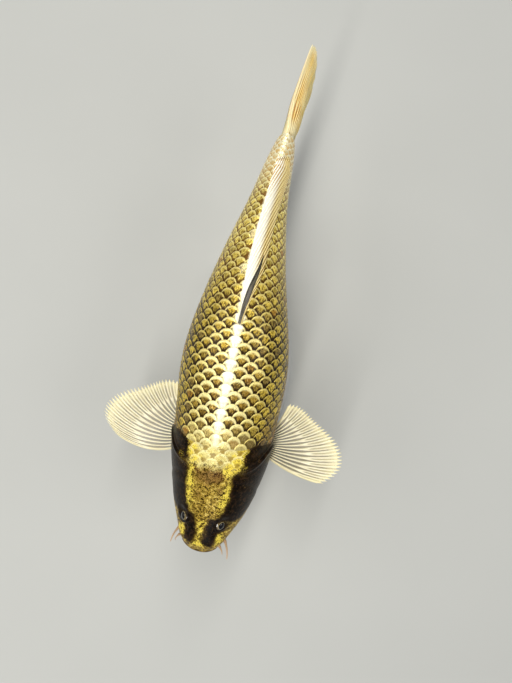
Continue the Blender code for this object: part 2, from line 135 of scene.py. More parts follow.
def place(s, x, z):
    """Straight-laid millimetres to the frame's metres, as an (n, 3) array."""
    s, x, z = np.broadcast_arrays(*(np.asarray(v, float) for v in (s, x, z)))
    ang = np.radians(heading_deg(np.clip(s, 0.0, 350.0)))
    over = np.minimum(s, 0.0)
    ax = np.interp(s, SPS, SPX) + over * np.sin(ang)
    ay = np.interp(s, SPS, SPY) + over * np.cos(ang)
    roll = np.radians(HEAD_ROLL_DEG) * (1 - ease(*ROLL_FADES, s))
    xr = x * np.cos(roll) + z * np.sin(roll)
    zr = z * np.cos(roll) - x * np.sin(roll)
    return np.stack([ax + xr * np.cos(ang), ay - xr * np.sin(ang), AXIS_HEIGHT + zr], -1) * MM


def gill_edge(a):
    c = np.cos(a)
    top = GILL_BACK + (GILL_TOP - GILL_BACK) * ease(0.10, 0.92, c)
    return top + (GILL_THROAT - GILL_BACK) * ease(0.05, 0.90, -c)


def skin(s, a, out=0.0):
    """Straight-laid (s, x, z) of the surface at the angle a from the back."""
    s, a, out = np.broadcast_arrays(np.asarray(s, float), np.asarray(a, float), np.asarray(out, float))
    w, t, b, c = half_width(s), back(s), belly(s), widest(s)
    ca, sa = np.cos(a), np.sin(a)
    upper = ca >= 0
    roof = 0.36 * ease(2, 20, s) * (1 - ease(42, 78, s))
    n = np.where(upper, 2.12 - roof, 2.25) - 0.10 * ease(200, 280, s)
    e = 2.0 / n
    x = w * np.sign(sa) * np.abs(sa) ** e
    z = c + np.where(upper, t - c, c - b) * np.sign(ca) * np.abs(ca) ** e
    side = ease(0.05, 0.75, np.abs(sa))
    bulge = 1.1 * side * ease(38, 74, s) * (1 - ease(-1.0, 5.0, s - gill_edge(a)))
    k = (bulge + out) / np.maximum(np.hypot(x, z - c), 1e-6)
    return s, x * (1 + k), z + (z - c) * k


def flank(s, z):
    lo, hi = np.zeros_like(s), np.full_like(s, math.pi)
    for _ in range(26):
        mid = (lo + hi) / 2
        above = skin(s, mid)[2] > z
        lo, hi = np.where(above, mid, lo), np.where(above, hi, mid)
    return skin(s, (lo + hi) / 2)[1]


def clear_of_body(s, x, z, gap):
    s, x, z = (np.array(v, float) for v in np.broadcast_arrays(s, x, z))
    need = flank(s, np.clip(z, belly(s) + 0.5, back(s) - 0.5)) + gap
    near = (s > 0) & (s < BODY_LENGTH) & (z > belly(s) - gap) & (z < back(s) + gap) & (np.abs(x) < need)
    return s, np.where(near, np.copysign(need, x), x), z


# ---- mesh helpers -----------------------------------------------------------
def make_mesh(name, verts, quads, mat, tris=None, attrs=None, uv=None):
    """A mesh object from arrays.  attrs: name -> (n,) or (n, 3) per vertex.
    uv: (n_vertices, 2), or a (n_loops, 2) array in the order quads, tris."""
    quads = np.asarray(quads, np.int32).reshape(-1, 4)
    tris = np.zeros((0, 3), np.int32) if tris is None else np.asarray(tris, np.int32).reshape(-1, 3)
    me = bpy.data.meshes.new(name)
    me.vertices.add(len(verts))
    me.vertices.foreach_set("co", np.asarray(verts, np.float32).ravel())
    loops = np.concatenate([quads.ravel(), tris.ravel()])
    me.loops.add(len(loops))
    me.loops.foreach_set("vertex_index", loops)
    me.polygons.add(len(quads) + len(tris))
    totals = np.concatenate([np.full(len(quads), 4), np.full(len(tris), 3)]).astype(np.int32)
    starts = np.concatenate([[0], np.cumsum(totals)[:-1]]).astype(np.int32)
    me.polygons.foreach_set("loop_start", starts)
    me.polygons.foreach_set("loop_total", totals)
    me.update(calc_edges=True)
    for key, val in (attrs or {}).items():
        val = np.asarray(val, np.float32)
        if val.ndim == 1:
            me.attributes.new(key, "FLOAT", "POINT").data.foreach_set("value", val)
        else:
            me.attributes.new(key, "FLOAT_VECTOR", "POINT").data.foreach_set("vector", val.ravel())
    if uv is not None:
        uv = np.asarray(uv, np.float32)
        if len(uv) == len(verts):
            uv = uv[loops]
        layer = me.uv_layers.new(name="OFBake")
        layer.data.foreach_set("uv", uv.ravel())
    me.validate(clean_customdata=False)
    me.shade_smooth()
    ob = bpy.data.objects.new(name, me)
    bpy.context.collection.objects.link(ob)
    me.materials.append(mat)
    return ob


def grid_quads(n, m, wrap=False, base=0, flip=False):
    """Quads over an n by m grid of vertices, row after row."""
    i, j = np.meshgrid(np.arange(n - 1), np.arange(m if wrap else m - 1), indexing="ij")
    k = (j + 1) % m
    q = np.stack([i * m + j, i * m + k, (i + 1) * m + k, (i + 1) * m + j], -1).reshape(-1, 4) + base
    return q[:, ::-1] if flip else q


def rim_quads(n, m, top, low):
    """The wall between two n by m sheets whose vertices start at top and low."""
    rim = [j for j in range(m - 1)] + [i * m + m - 1 for i in range(n - 1)] \
        + [(n - 1) * m + j for j in range(m - 1, 0, -1)] + [i * m for i in range(n - 1, 0, -1)]
    rim = np.array(rim)
    nxt = np.roll(rim, -1)
    return np.stack([nxt + top, rim + top, rim + low, nxt + low], -1)


def outward(ob):
    """Turns a closed mesh's faces out where they all point in."""
    import bmesh
    bm = bmesh.new()
    bm.from_mesh(ob.data)
    if bm.calc_volume(signed=True) < 0:
        bmesh.ops.reverse_faces(bm, faces=bm.faces)
        bm.to_mesh(ob.data)
        ob.data.shade_smooth()
    bm.free()
    return ob


# ---- materials --------------------------------------------------------------
class Mat:
    """A small hand for writing node materials."""

    def __init__(self, name, rough=0.4, metal=0.0, **sockets):
        self.mat = bpy.data.materials.new(name)
        self.mat.use_nodes = True
        self.nt = self.mat.node_tree
        self.bsdf = self.nt.nodes["Principled BSDF"]
        self.bsdf.inputs["Roughness"].default_value = rough
        self.bsdf.inputs["Metallic"].default_value = metal
        for key, val in sockets.items():
            self.bsdf.inputs[key.replace("_", " ")].default_value = val

    def _in(self, sock, val):
        if isinstance(val, bpy.types.NodeSocket):
            self.nt.links.new(val, sock)
        elif isinstance(val, (tuple, list)) and len(val) == 3 and sock.type == "RGBA":
            sock.default_value = (*val, 1)
        else:
            sock.default_value = val

    def attr(self, name, out="Fac"):
        n = self.nt.nodes.new("ShaderNodeAttribute")
        n.attribute_name = name
        return n.outputs[out]

    def coords(self):
        return self.nt.nodes.new("ShaderNodeTexCoord").outputs["Object"]

    def math(self, op, a, b=0.0, c=0.0, clamp=False):
        n = self.nt.nodes.new("ShaderNodeMath")
        n.operation, n.use_clamp = op, clamp
        for i, v in enumerate((a, b, c)):
            self._in(n.inputs[i], v)
        return n.outputs[0]

    def step(self, x, lo, hi, out_lo=0.0, out_hi=1.0):
        n = self.nt.nodes.new("ShaderNodeMapRange")
        n.interpolation_type = "SMOOTHSTEP"
        for i, v in enumerate((x, lo, hi, out_lo, out_hi)):
            self._in(n.inputs[i], v)
        return n.outputs[0]

    def vec(self, x=0.0, y=0.0, z=0.0):
        n = self.nt.nodes.new("ShaderNodeCombineXYZ")
        for i, v in enumerate((x, y, z)):
            self._in(n.inputs[i], v)
        return n.outputs[0]

    def noise(self, vec, scale, detail=3.0, rough=0.55, stretch=None, distort=0.0):
        if stretch is not None:
            m = self.nt.nodes.new("ShaderNodeVectorMath")
            m.operation = "MULTIPLY"
            self._in(m.inputs[0], vec)
            m.inputs[1].default_value = stretch
            vec = m.outputs[0]
        n = self.nt.nodes.new("ShaderNodeTexNoise")
        self._in(n.inputs["Vector"], vec)
        n.inputs["Scale"].default_value = scale
        n.inputs["Detail"].default_value = detail
        n.inputs["Roughness"].default_value = rough
        n.inputs["Distortion"].default_value = distort
        return n.outputs["Fac"]

    def cells(self, vec, scale, feature="F1", out="Distance", rand=1.0):
        n = self.nt.nodes.new("ShaderNodeTexVoronoi")
        n.feature = feature
        self._in(n.inputs["Vector"], vec)
        n.inputs["Scale"].default_value = scale
        n.inputs["Randomness"].default_value = rand
        return n.outputs[out]

    def mix(self, fac, a, b, mode="MIX"):
        n = self.nt.nodes.new("ShaderNodeMix")
        n.data_type, n.blend_type = "RGBA", mode
        self._in(n.inputs[0], fac)
        self._in(n.inputs[6], a)
        self._in(n.inputs[7], b)
        return n.outputs[2]

    def bump(self, height, distance=0.0003, strength=1.0):
        n = self.nt.nodes.new("ShaderNodeBump")
        n.inputs["Strength"].default_value = strength
        n.inputs["Distance"].default_value = distance
        self._in(n.inputs["Height"], height)
        self.nt.links.new(n.outputs[0], self.bsdf.inputs["Normal"])

    def put(self, socket, val):
        self._in(self.bsdf.inputs[socket], val)
        return self


# ---- the lie of the scales --------------------------------------------------
LENGTH_S = smooth_curve((60, 90, 120, 160, 200, 240, 270, 300), (8.4, 8.3, 7.9, 7.1, 6.8, 5.7, 4.4, 4.2))
ROW_S = smooth_curve((60, 90, 130, 170, 220, 270, 300), (6.0, 6.0, 6.0, 5.6, 4.9, 3.9, 3.5))
GS = np.arange(50.0, 300.5, 0.5)                       # the table's stations
GA = np.linspace(-0.7, math.pi + 0.7, 561)             # ... and angles, past back and belly
PHASE = np.concatenate([[0.0], np.cumsum(0.5 / LENGTH_S((GS[1:] + GS[:-1]) / 2))])
_, _gx, _gz = skin(GS[:, None], GA[None, :])
ARC = np.concatenate([np.zeros((len(GS), 1)),
                      np.cumsum(np.hypot(np.diff(_gx, axis=1), np.diff(_gz, axis=1)), axis=1)], 1)
ARC -= ARC[:, 280:281]                                 # signed arc, 0 at the lateral line
UP_ARC = np.array([-np.interp(0.0, GA, r) for r in ARC])
DOWN_ARC = np.array([np.interp(math.pi, GA, r) for r in ARC])


ROWS_UP, ROWS_DOWN = 10, 10                            # rows from the lateral line to ridge and keel
FRONT, REAR, ROUND, HALF = -1.05, 0.55, 0.66, 0.82     # one scale's outline, in lengths and rows
_let = ease(168, 188, GS)
R_UP = UP_ARC / ROWS_UP * (1 - _let) + np.maximum(UP_ARC / ROWS_UP, ROW_S(GS)) * _let
R_DOWN = DOWN_ARC / ROWS_DOWN * (1 - _let) + np.maximum(DOWN_ARC / ROWS_DOWN, ROW_S(GS)) * _let


def row_arc(s, y):
    """Signed arc of the row coordinate y, negative above the lateral line."""
    return y * np.where(y < 0, np.interp(s, GS, R_UP), np.interp(s, GS, R_DOWN))


def s_of_phase(p):
    return np.interp(p, PHASE, GS)


def angle_of(s, arc):
    """Angle from the back at a signed arc below the lateral line, on the left."""
    s, arc = np.broadcast_arrays(np.asarray(s, float), np.asarray(arc, float))
    f = np.clip((s.ravel() - GS[0]) / 0.5, 0, len(GS) - 1.001)
    i = f.astype(int)
    f, want, out = f - i, arc.ravel(), np.empty(s.size)
    for k in np.unique(i):
        m = i == k
        out[m] = (1 - f[m]) * np.interp(want[m], ARC[k], GA) + f[m] * np.interp(want[m], ARC[k + 1], GA)
    return out.reshape(s.shape)


def scale_start(a):
    """s where the first scales stand, at the angle a from the back."""
    c = np.cos(a)
    low = gill_edge(a) + 1.2
    top = np.maximum(low, 79.5 + 4.5 * ease(0.97, 0.60, c))
    return top + (low - top) * ease(-0.05, -0.35, c)


# ---- the skin: one form from the snout to the tail fin's root ----------------
def lip_path(reach, half, drop, level_z, corner_s, n=48):
    q = np.linspace(0, math.pi, n + 1)
    return np.stack([corner_s - (corner_s - reach) * np.sin(q) ** 0.85, half * np.cos(q),
                     level_z - drop * (1 - np.sin(q))], -1)


def near_path(pts, path):
    """Distance from each point to a fine polyline, and the place along it."""
    d = np.linalg.norm(pts[:, None, :] - path[None, :, :], axis=2)
    k = d.argmin(1)
    return d[np.arange(len(pts)), k], k / (len(path) - 1)


def bumped(x, width):
    return np.exp(-(x / width) ** 2)


rows = np.concatenate([[0.03], 20 * (np.arange(1, 61) / 60.0) ** 1.5, np.arange(20.5, 93, 0.5),
                       np.linspace(93, 299.4, 118)])
NA = 280
angs = 2 * math.pi * np.arange(NA) / NA
S, A = np.meshgrid(rows, angs, indexing="ij")
A1 = np.where(A > math.pi, A - 2 * math.pi, A)         # signed, + on the left
AA = np.abs(A1)                                        # 0 back .. pi belly
coat_on = ease(-0.5, 5.5, S - scale_start(AA))
depth = BARE + (COAT - BARE) * coat_on
PS, PX, PZ = skin(S, A1, -depth)
P = np.stack([PS, PX, PZ], -1)


def grid_normals(p):
    du = np.gradient(p, axis=0)
    dv = np.roll(p, -1, 1) - np.roll(p, 1, 1)
    n = np.cross(dv, du)
    return n / np.maximum(np.linalg.norm(n, axis=-1, keepdims=True), 1e-9)


N = grid_normals(P)
if (N[100, NA // 4] * np.array([0, 1, 0])).sum() < 0:
    N = -N
lift = np.zeros(S.shape)

# gill cover: a soft rear flap over a groove, and the line of the cheek bone
edge = S - gill_edge(AA)
side = ease(0.10, 0.55, np.sin(AA)) * ease(-0.995, -0.90, np.cos(AA))
lift += side * (0.55 * bumped(edge + 1.6, 1.6) - 0.75 * bumped(edge - 0.5, 0.9))
cheek = 52.0 + 4.0 * ease(-0.2, 0.7, np.cos(AA)) + 1.5 * np.sin(3 * AA)
cheek_on = ease(0.35, 0.7, np.sin(AA)) * ease(-0.95, -0.7, np.cos(AA))
lift += cheek_on * (-0.22 * bumped(S - cheek, 1.9) + 0.22 * bumped(S - cheek + 4.2, 3.0))
# bone behind and below the eye
infra = np.abs(S - (30 + 18 * (np.cos(AA) + 0.25)))
lift += ease(0.6, 0.8, np.sin(AA)) * ease(0.55, 0.2, np.cos(AA)) * ease(-0.5, -0.2, np.cos(AA)) \
    * -0.13 * bumped(infra, 1.6)
# throat: the two gill membranes meet on the isthmus
keel = (math.pi - AA) * 20.0
lift += ease(-0.97, -0.995, np.cos(AA)) * ease(26, 34, S) * (1 - ease(58, 64, S)) * -0.8 * bumped(keel, 0.9)
jaw = keel - 1.5 - 0.34 * np.maximum(S - 14, 0)
lift += ease(14, 22, S) * (1 - ease(52, 60, S)) * -0.65 * bumped(jaw, 0.8) * ease(-0.45, -0.65, np.cos(AA))
# skull: a shallow dish between the eyes and low bosses over them
lift += 0.35 * ease(14, 24, S) * (1 - ease(34, 48, S)) * (bumped(np.abs(PX) - 8.2, 2.2) - 0.8 * bumped(PX, 3.6))
# nostrils: two openings on each side with a little flap between
for sx in (1, -1):
    for ns, nx, depth_n, wide in ((16.6, 9.3, 0.8, 0.75), (18.9, 9.9, 0.9, 0.9)):
        dn = np.hypot(S - ns, PX - sx * nx) * np.where(PZ > -2, 1, 9)
        lift += -depth_n * bumped(dn, wide) + 0.16 * bumped(dn - wide * 1.9, 0.5)
    dn = np.hypot((S - 17.8), (PX - sx * 9.6) * 0.8) * np.where(PZ > -2, 1, 9)
    lift += 0.42 * bumped(dn, 0.45)

P = P + N * lift[..., None]

# lips and the closed mouth between them
flat = P.reshape(-1, 3)
near = flat[:, 0] < 17.0
upper_lip = lip_path(1.6, 12.4, 2.2, -4.6, 9.0)
lower_lip = lip_path(3.4, 10.6, 0.6, -9.3, 9.6)
mouth = (upper_lip + lower_lip) / 2 * np.array([1, 1.03, 1]) + np.array([-0.4, 0, 0.1])
f_lip, f_mouth_shade = np.zeros(len(flat)), np.zeros(len(flat))
dn, nn = np.zeros(len(flat)), N.reshape(-1, 3)
for path, fat, thin in ((upper_lip, 2.1, 1.3), (lower_lip, 1.9, 1.2)):
    d, q = near_path(flat[near], path)
    r = thin + (fat - thin) * np.sin(math.pi * q)
    dn[near] += 0.62 * r * np.exp(-(d / (0.86 * r)) ** 4) - 0.42 * bumped(d - 1.45 * r, 0.42)
    f_lip[near] = np.maximum(f_lip[near], np.exp(-(d / (1.05 * r)) ** 6))
d, q = near_path(flat[near], mouth)
dn[near] += -1.7 * bumped(d, 0.55)
f_mouth_shade[near] = bumped(d, 0.55)
P = (flat + nn * dn[:, None]).reshape(P.shape)

# sockets: the skin opens over each eye and stands up round it as a thin rim
OPEN = math.radians(50)
f_socket_shade = np.zeros(S.shape)
gaze = {}
for sx in (1, -1):
    centre = np.array([EYE_S, sx * EYE_X, EYE_Z])
    g = np.array([-0.10, sx * 0.72, 0.68])
    g /= np.linalg.norm(g)
    gaze[sx] = g
    v = P - centre
    d3 = np.linalg.norm(v, axis=-1)
    th = np.arccos(np.clip((v @ g) / d3, -1, 1))
    around = d3 < EYE_RADIUS * 2.4
    inside = (1 - ease(OPEN - 0.10, OPEN + 0.06, th)) * (th < OPEN + 0.1)
    target = np.maximum(d3, EYE_RADIUS + 0.30 - 0.2 * ease(OPEN, OPEN + 0.6, th))
    target = target + 0.55 * bumped(th - OPEN - 0.13, 0.13) - 0.20 * bumped(th - OPEN - 0.42, 0.12)
    target = target * (1 - inside) + (EYE_RADIUS - 0.55) * inside
    k = np.where(around, 1.0, 0.0) * (1 - ease(1.7, 2.3, d3 / EYE_RADIUS))
    P = P + v / d3[..., None] * ((target - d3) * k)[..., None]
    # the band along the socket's edge, painted dark further down as shade in the crease
    f_socket_shade = np.maximum(f_socket_shade, np.where(around, bumped(th - OPEN - 0.02, 0.12), 0))

# ---- markings: fields for the skin, the nape's net following the coat's rows ---
from mathutils import noise as mnoise


def wobble(s, x, z, size, seed):
    """Smooth noise in -1..1 at straight-laid places."""
    pts = np.stack(np.broadcast_arrays(s, x, z), -1).reshape(-1, 3) / size + seed * 17.3
    return np.array([mnoise.noise(Vector(p)) for p in pts]).reshape(np.shape(s))


def soft(d, w):
    """Falls from 1 to 0 as the distance d passes 0, over w on each side."""
    return np.clip(0.5 - d / (2 * w), 0, 1)


def head_fields(s, x, z, aa):
    """(dark, gold, cream, shade, up) of the head's bare skin, each 0..1 before the grain."""
    w1 = wobble(s, x, z, 7.0, 1) * 1.7 + wobble(s, x, z, 2.6, 2) * 1.0
    w2 = wobble(s, x, z, 6.0, 3) * 2.2 + wobble(s, x, z, 2.4, 4) * 1.0
    ax, sw, deg = np.abs(x) + w1, s + w2, np.degrees(aa)
    up = ease(100, 78, deg)                            # fades under the flank
    high = (z > -3) * 1.0
    # bars from the inner side of each eye to the snout, joined to black about the eyes
    run = np.clip(sw, 10.6, 27.0)
    bar = soft(np.hypot(sw - run, ax - 6.9 - 0.085 * (run - 14)) - 3.1 - 1.1 * bumped((run - 18.5) / 8.0, 1)
               - 0.5 * wobble(s, x, z, 3.4, 11), 2.1)
    ring = soft(np.hypot(sw - 25.5, ax - 11.6) - 5.4, 1.7)
    out_l = 3.2 * ease(64, 78, s) * (x > 0)            # the left side's marks spread wider at the nape
    inner = 15.4 - 4.4 * (1 - ease(30, 48, sw)) + 2.2 * ease(60, 84, sw) + out_l
    cheek = soft(inner - ax, 2.4) * soft(29.5 + 0.30 * np.maximum(deg - 60, 0) - sw, 2.4) \
        * soft(sw - 88.5 - 2.0 * ease(60, 84, deg), 2.6) * soft(deg - 80 - 0.36 * (sw - 30) - 5 * w1, 17.0)
    mottled = 0.50 * bumped(np.hypot(s - 67, ax - 20.0) / 5.0, 1) + 0.30 * bumped(np.hypot(s - 78, ax - 27) / 6.0, 1) \
        + 0.26 * bumped((s - 56 + w2) / 5.0, 1) * ease(20, 24, ax)
    dark = np.maximum(np.maximum(bar, ring) * high, cheek * (1 - mottled))
    # bright yellow: bands back from the eyes, patches before them, the snout's tip
    at = (31, 39.5, 46.5, 54, 60, 69, 72, 78, 82.5, 90)
    mid = np.interp(s, at, (10.6, 11.9, 12.7, 13.8, 14.2, 13.4, 14.0, 15.6, 17.6, 19.8))
    wide = np.interp(s, at, (0.9, 1.7, 2.2, 2.4, 2.9, 4.4, 4.8, 4.4, 3.6, 2.4))
    band = soft(np.abs(ax - mid - 0.7 * out_l) - wide * (1 + 0.60 * wobble(s, 3 * np.sign(x), 0 * z, 8.0, 8)), 3.0) \
        * soft(34 - sw, 3.0) * soft(sw - 88, 3.0)
    band = band * (1 - 0.55 * bumped((sw - 62.5 + 3.0 * np.sign(x)) / 6.5, 1)) \
        * np.clip(1.05 + 1.0 * wobble(s, x, z, 5.5, 9), 0.30, 1)
    patch_ = soft(np.hypot((sw - 14.5) / 1.7, ax - 13.4) - 2.4, 1.8) * high
    tip = 0.8 * soft(np.hypot((s + 0.5 * w2 - 7.6 - 0.30 * x) / 0.26, x - 1.0) - 5.2, 2.2) * high
    spots = soft(np.hypot(s - 71 + 0.6 * w2, np.abs(x) - 22.0 + 0.5 * w1) - np.where(x < 0, 3.4, 2.8), 2.6)
    between = 0.42 * soft(np.maximum(ax - 2.6, np.abs(sw - 17) - 11), 1.8) * high
    gold = np.maximum.reduce([band, patch_, tip, spots, between])
    cream = soft(np.maximum(67.0 - s - 1.3 * w1 - 1.1 * w2, ax - 15.0 - out_l), 5.0)
    shade = 0.58 * soft(np.hypot((s - 60.0 + 0.9 * w2) / 0.62, x + 1.0 + w1) - 9.4, 4.2)
    shade = np.maximum(shade, soft(np.hypot(s - 61.5 + w2, x - 4.9 + w1) - 4.2, 2.6))
    shade = np.maximum(shade, 0.95 * soft(np.hypot(s - 63.0 + w2, x + 9.8 + w1) - 3.2, 2.4))
    shade = np.maximum(shade, 0.8 * soft(np.hypot(s - 52 + w2, x - 9.5 + w1) - 2.0, 2.2))
    shade = np.maximum(shade, 0.55 * soft(np.hypot(s - 47 + w2, x + 5.5 + w1) - 2.6, 2.6))
    return dark, gold, cream, shade, up


def nape_net(s, a):
    """The rows of scales showing faintly through the nape's skin: distance in from each lip."""
    p = np.interp(s, GS, PHASE)
    y = np.interp(a, GA, ARC[int(np.clip((s - GS[0]) / 0.5, 0, len(GS) - 1))]) / np.interp(s, GS, R_UP)
    e = np.full(y.shape, 1.0)
    for j in (np.floor(y), np.floor(y) + 1):
        c = np.clip(np.abs(y - j) / HALF, 0, 1)
        lip = REAR - ROUND * (1 - np.sqrt(1 - c ** 2))
        e = np.where(c < 1, np.minimum(e, np.mod(lip - p + 0.25 + 0.5 * (j % 2), 1.0)), e)
    return e


HS, HX, HZ = P[..., 0], P[..., 1], P[..., 2]
f_net, f_netlip = np.zeros(S.shape), np.zeros(S.shape)
for k in np.nonzero((rows > 62) & (rows < 96))[0]:
    e_net = nape_net(rows[k], AA[k])
    shown = ease(66.0, 73.0, rows[k] + 1.5 * wobble(S[k], PX[k], PZ[k], 5.0, 12)) * ease(54, 40, np.degrees(AA[k]))
    f_net[k] = ease(0.40, 0.74, e_net) * shown
    f_netlip[k] = ease(0.26, 0.06, e_net) * shown
is_head = S < 96
fields = np.zeros((5,) + S.shape)
m = is_head.reshape(-1)
got = head_fields(HS.reshape(-1)[m], HX.reshape(-1)[m], HZ.reshape(-1)[m], AA.reshape(-1)[m])
for k in range(5):
    fields[k].reshape(-1)[m] = got[k]
fields[1][~is_head], fields[4][~is_head] = 0.0, 0.0
f_netlip *= np.clip(1 - 2 * fields[0], 0, 1)

verts = place(P[..., 0], P[..., 1], P[..., 2]).reshape(-1, 3)
nose = place(-0.02, 0.0, float(P[0, :, 2].mean()))[None]
stern = place(299.5, 0.0, 0.0)[None]
nv = len(verts)
verts = np.concatenate([verts, nose, stern])
quads = grid_quads(len(rows), NA, wrap=True)
k0, k1 = np.arange(NA), np.roll(np.arange(NA), -1)
tris = np.concatenate([np.stack([np.full(NA, nv), k1, k0], -1),
                       np.stack([np.full(NA, nv + 1), (len(rows) - 1) * NA + k0, (len(rows) - 1) * NA + k1], -1)])


def with_poles(f):
    f = np.asarray(f, float)
    f = f.reshape(nv, -1) if f.ndim == 3 else f.reshape(-1)
    return np.concatenate([f, f[:1], f[-1:]])


# the skin's own unwrap: length along u, girth along v, cut along the back
qi = quads.reshape(-1, 4)
ru = np.interp(rows, [0, 20, 93, 300], [0.03, 0.17, 0.56, 0.98])
row_of, col_of = qi // NA, qi % NA
colv = col_of.astype(float)
colv[:, 1] = np.where(col_of[:, 1] < col_of[:, 0], NA, col_of[:, 1])
colv[:, 2] = np.where(col_of[:, 2] < col_of[:, 3], NA, col_of[:, 2])
quv = np.stack([ru[row_of], 0.01 + 0.98 * colv / NA], -1).reshape(-1, 2)
tuv = []
for pole_u, ring_u, flip in ((0.004, ru[0], True), (0.996, ru[-1], False)):
    lo_ = 0.01 + 0.98 * k0 / NA
    hi_ = 0.01 + 0.98 * (k0 + 1) / NA
    pole = np.stack([np.full(NA, pole_u), (lo_ + hi_) / 2], -1)
    a_, b_ = np.stack([np.full(NA, ring_u), hi_], -1), np.stack([np.full(NA, ring_u), lo_], -1)
    tuv.append(np.stack([pole, a_, b_] if flip else [pole, b_, a_], 1).reshape(-1, 2))
uv_loops = np.concatenate([quv] + tuv)

skin_mat = Mat("koi_skin", rough=0.30, metal=0.04, Coat_Weight=0.07, Coat_Roughness=0.10, IOR=1.13)
mt = skin_mat
co = mt.coords()
nz_fine = mt.noise(co, 1500.0, 3.0, 0.62)
nz_mid = mt.noise(co, 480.0, 3.0, 0.60)
nz_big = mt.noise(co, 120.0, 2.0, 0.5)
grain = mt.math("ADD", mt.math("MULTIPLY", nz_fine, 0.55), mt.math("MULTIPLY", nz_mid, 0.45))


def patchy(m, field, lo=0.40, hi=0.60, amount=4.0):
    x = m.math("ADD", field, m.math("MULTIPLY", m.math("SUBTRACT", grain, 0.5), amount))
    return m.step(x, lo, hi)


crown = mt.mix(mt.step(grain, 0.43, 0.58), (0.026, 0.012, 0.0015), (0.520, 0.350, 0.052))
crown = mt.mix(mt.step(nz_mid, 0.56, 0.68), crown, (0.80, 0.63, 0.17))
shade_col = mt.mix(mt.step(grain, 0.42, 0.60), (0.036, 0.015, 0.006), (0.33, 0.185, 0.042))
crown = mt.mix(patchy(mt, mt.attr("f_shade")), crown, shade_col)
gold = mt.mix(mt.step(grain, 0.36, 0.56), (0.38, 0.24, 0.014), (0.92, 0.74, 0.105))
cream = mt.mix(mt.step(grain, 0.38, 0.58), (0.50, 0.37, 0.085), (0.88, 0.81, 0.34))
cream = mt.mix(mt.math("MULTIPLY", mt.step(nz_mid, 0.50, 0.62), 0.45), cream, (0.30, 0.20, 0.05))
black = mt.mix(mt.step(nz_mid, 0.45, 0.70), (0.0026, 0.0016, 0.0010), (0.034, 0.017, 0.007))
low_col = mt.mix(mt.step(nz_big, 0.35, 0.7), (0.30, 0.185, 0.055), (0.50, 0.36, 0.13))
low_col = mt.mix(mt.step(grain, 0.50, 0.62, 0.0, 0.5), low_col, (0.10, 0.055, 0.014))
throat = mt.mix(mt.step(nz_mid, 0.35, 0.7), (0.70, 0.555, 0.30), (0.82, 0.72, 0.46))
under = mt.mix(mt.attr("f_throat"), low_col, throat)
base = mt.mix(mt.attr("f_up"), under, crown)
base = mt.mix(patchy(mt, mt.attr("f_cream"), 0.20, 0.80, 1.3), base, cream)
base = mt.mix(patchy(mt, mt.attr("f_gold"), 0.34, 0.68, 4.8), base, gold)
base = mt.mix(mt.math("MULTIPLY", patchy(mt, mt.attr("f_net"), 0.30, 0.80, 3.0), 0.70), base, (0.22, 0.125, 0.022))
base = mt.mix(mt.math("MULTIPLY", mt.attr("f_netlip"), 0.55), base, (0.95, 0.88, 0.50))
base = mt.mix(patchy(mt, mt.attr("f_dark"), 0.36, 0.60, 4.8), base, black)
base = mt.mix(mt.math("MULTIPLY", mt.step(nz_fine, 0.66, 0.74), 0.40), base, (0.60, 0.43, 0.06))
lip_col = mt.mix(mt.step(nz_mid, 0.35, 0.7), (0.050, 0.026, 0.010), (0.16, 0.09, 0.030))
lip_low = mt.mix(mt.step(nz_mid, 0.35, 0.7), (0.40, 0.24, 0.11), (0.56, 0.38, 0.20))
base = mt.mix(mt.attr("f_lip"), base, mt.mix(mt.attr("f_liplow"), lip_col, lip_low))
# painted shade: near-black along the slit of the closed mouth
base = mt.mix(mt.attr("f_mouth_shade"), base, (0.030, 0.012, 0.008))
# painted shade: near-black in the crease where the skin's rim meets the eyeball
base = mt.mix(mt.math("MULTIPLY", mt.attr("f_socket_shade"), 0.85), base, (0.012, 0.008, 0.006))
base = mt.mix(mt.attr("f_root"), base, mt.mix(mt.step(nz_mid, 0.38, 0.66), (0.60, 0.43, 0.20), (0.86, 0.74, 0.42)))
base = mt.mix(mt.attr("f_coat"), base, mt.mix(nz_mid, (0.040, 0.024, 0.008), (0.16, 0.10, 0.03)))
mt.put("Base Color", base)
mt.put("Roughness", mt.step(grain, 0.3, 0.7, 0.24, 0.40))
mt.bump(mt.math("ADD", mt.math("MULTIPLY", nz_fine, 0.35), nz_mid), 0.00022, 0.55)

dark, gold_f, cream_f, shade_f, up_f = fields
skin_ob = make_mesh("koi_skin", verts, quads, mt.mat, tris=tris, uv=uv_loops, attrs={
    "f_dark": with_poles(dark), "f_gold": with_poles(gold_f), "f_cream": with_poles(cream_f),
    "f_shade": with_poles(shade_f), "f_up": with_poles(up_f),
    "f_throat": with_poles(ease(math.radians(112), math.radians(146), AA)),
    "f_lip": with_poles(f_lip.reshape(S.shape)), "f_mouth_shade": with_poles(f_mouth_shade.reshape(S.shape)),
    "f_liplow": with_poles(ease(-6.4, -8.2, P[..., 2])), "f_root": with_poles(ease(262, 284, S)),
    "f_net": with_poles(f_net), "f_netlip": with_poles(f_netlip),
    "f_socket_shade": with_poles(f_socket_shade), "f_coat": with_poles(coat_on * (1 - ease(246, 270, S)))})
outward(skin_ob)
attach(skin_ob, "root")
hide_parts("head", "gill_cover_left", "gill_cover_right", "upper_lip", "lower_lip",
            "trunk_front", "trunk_middle", "trunk_rear", "tail_root")


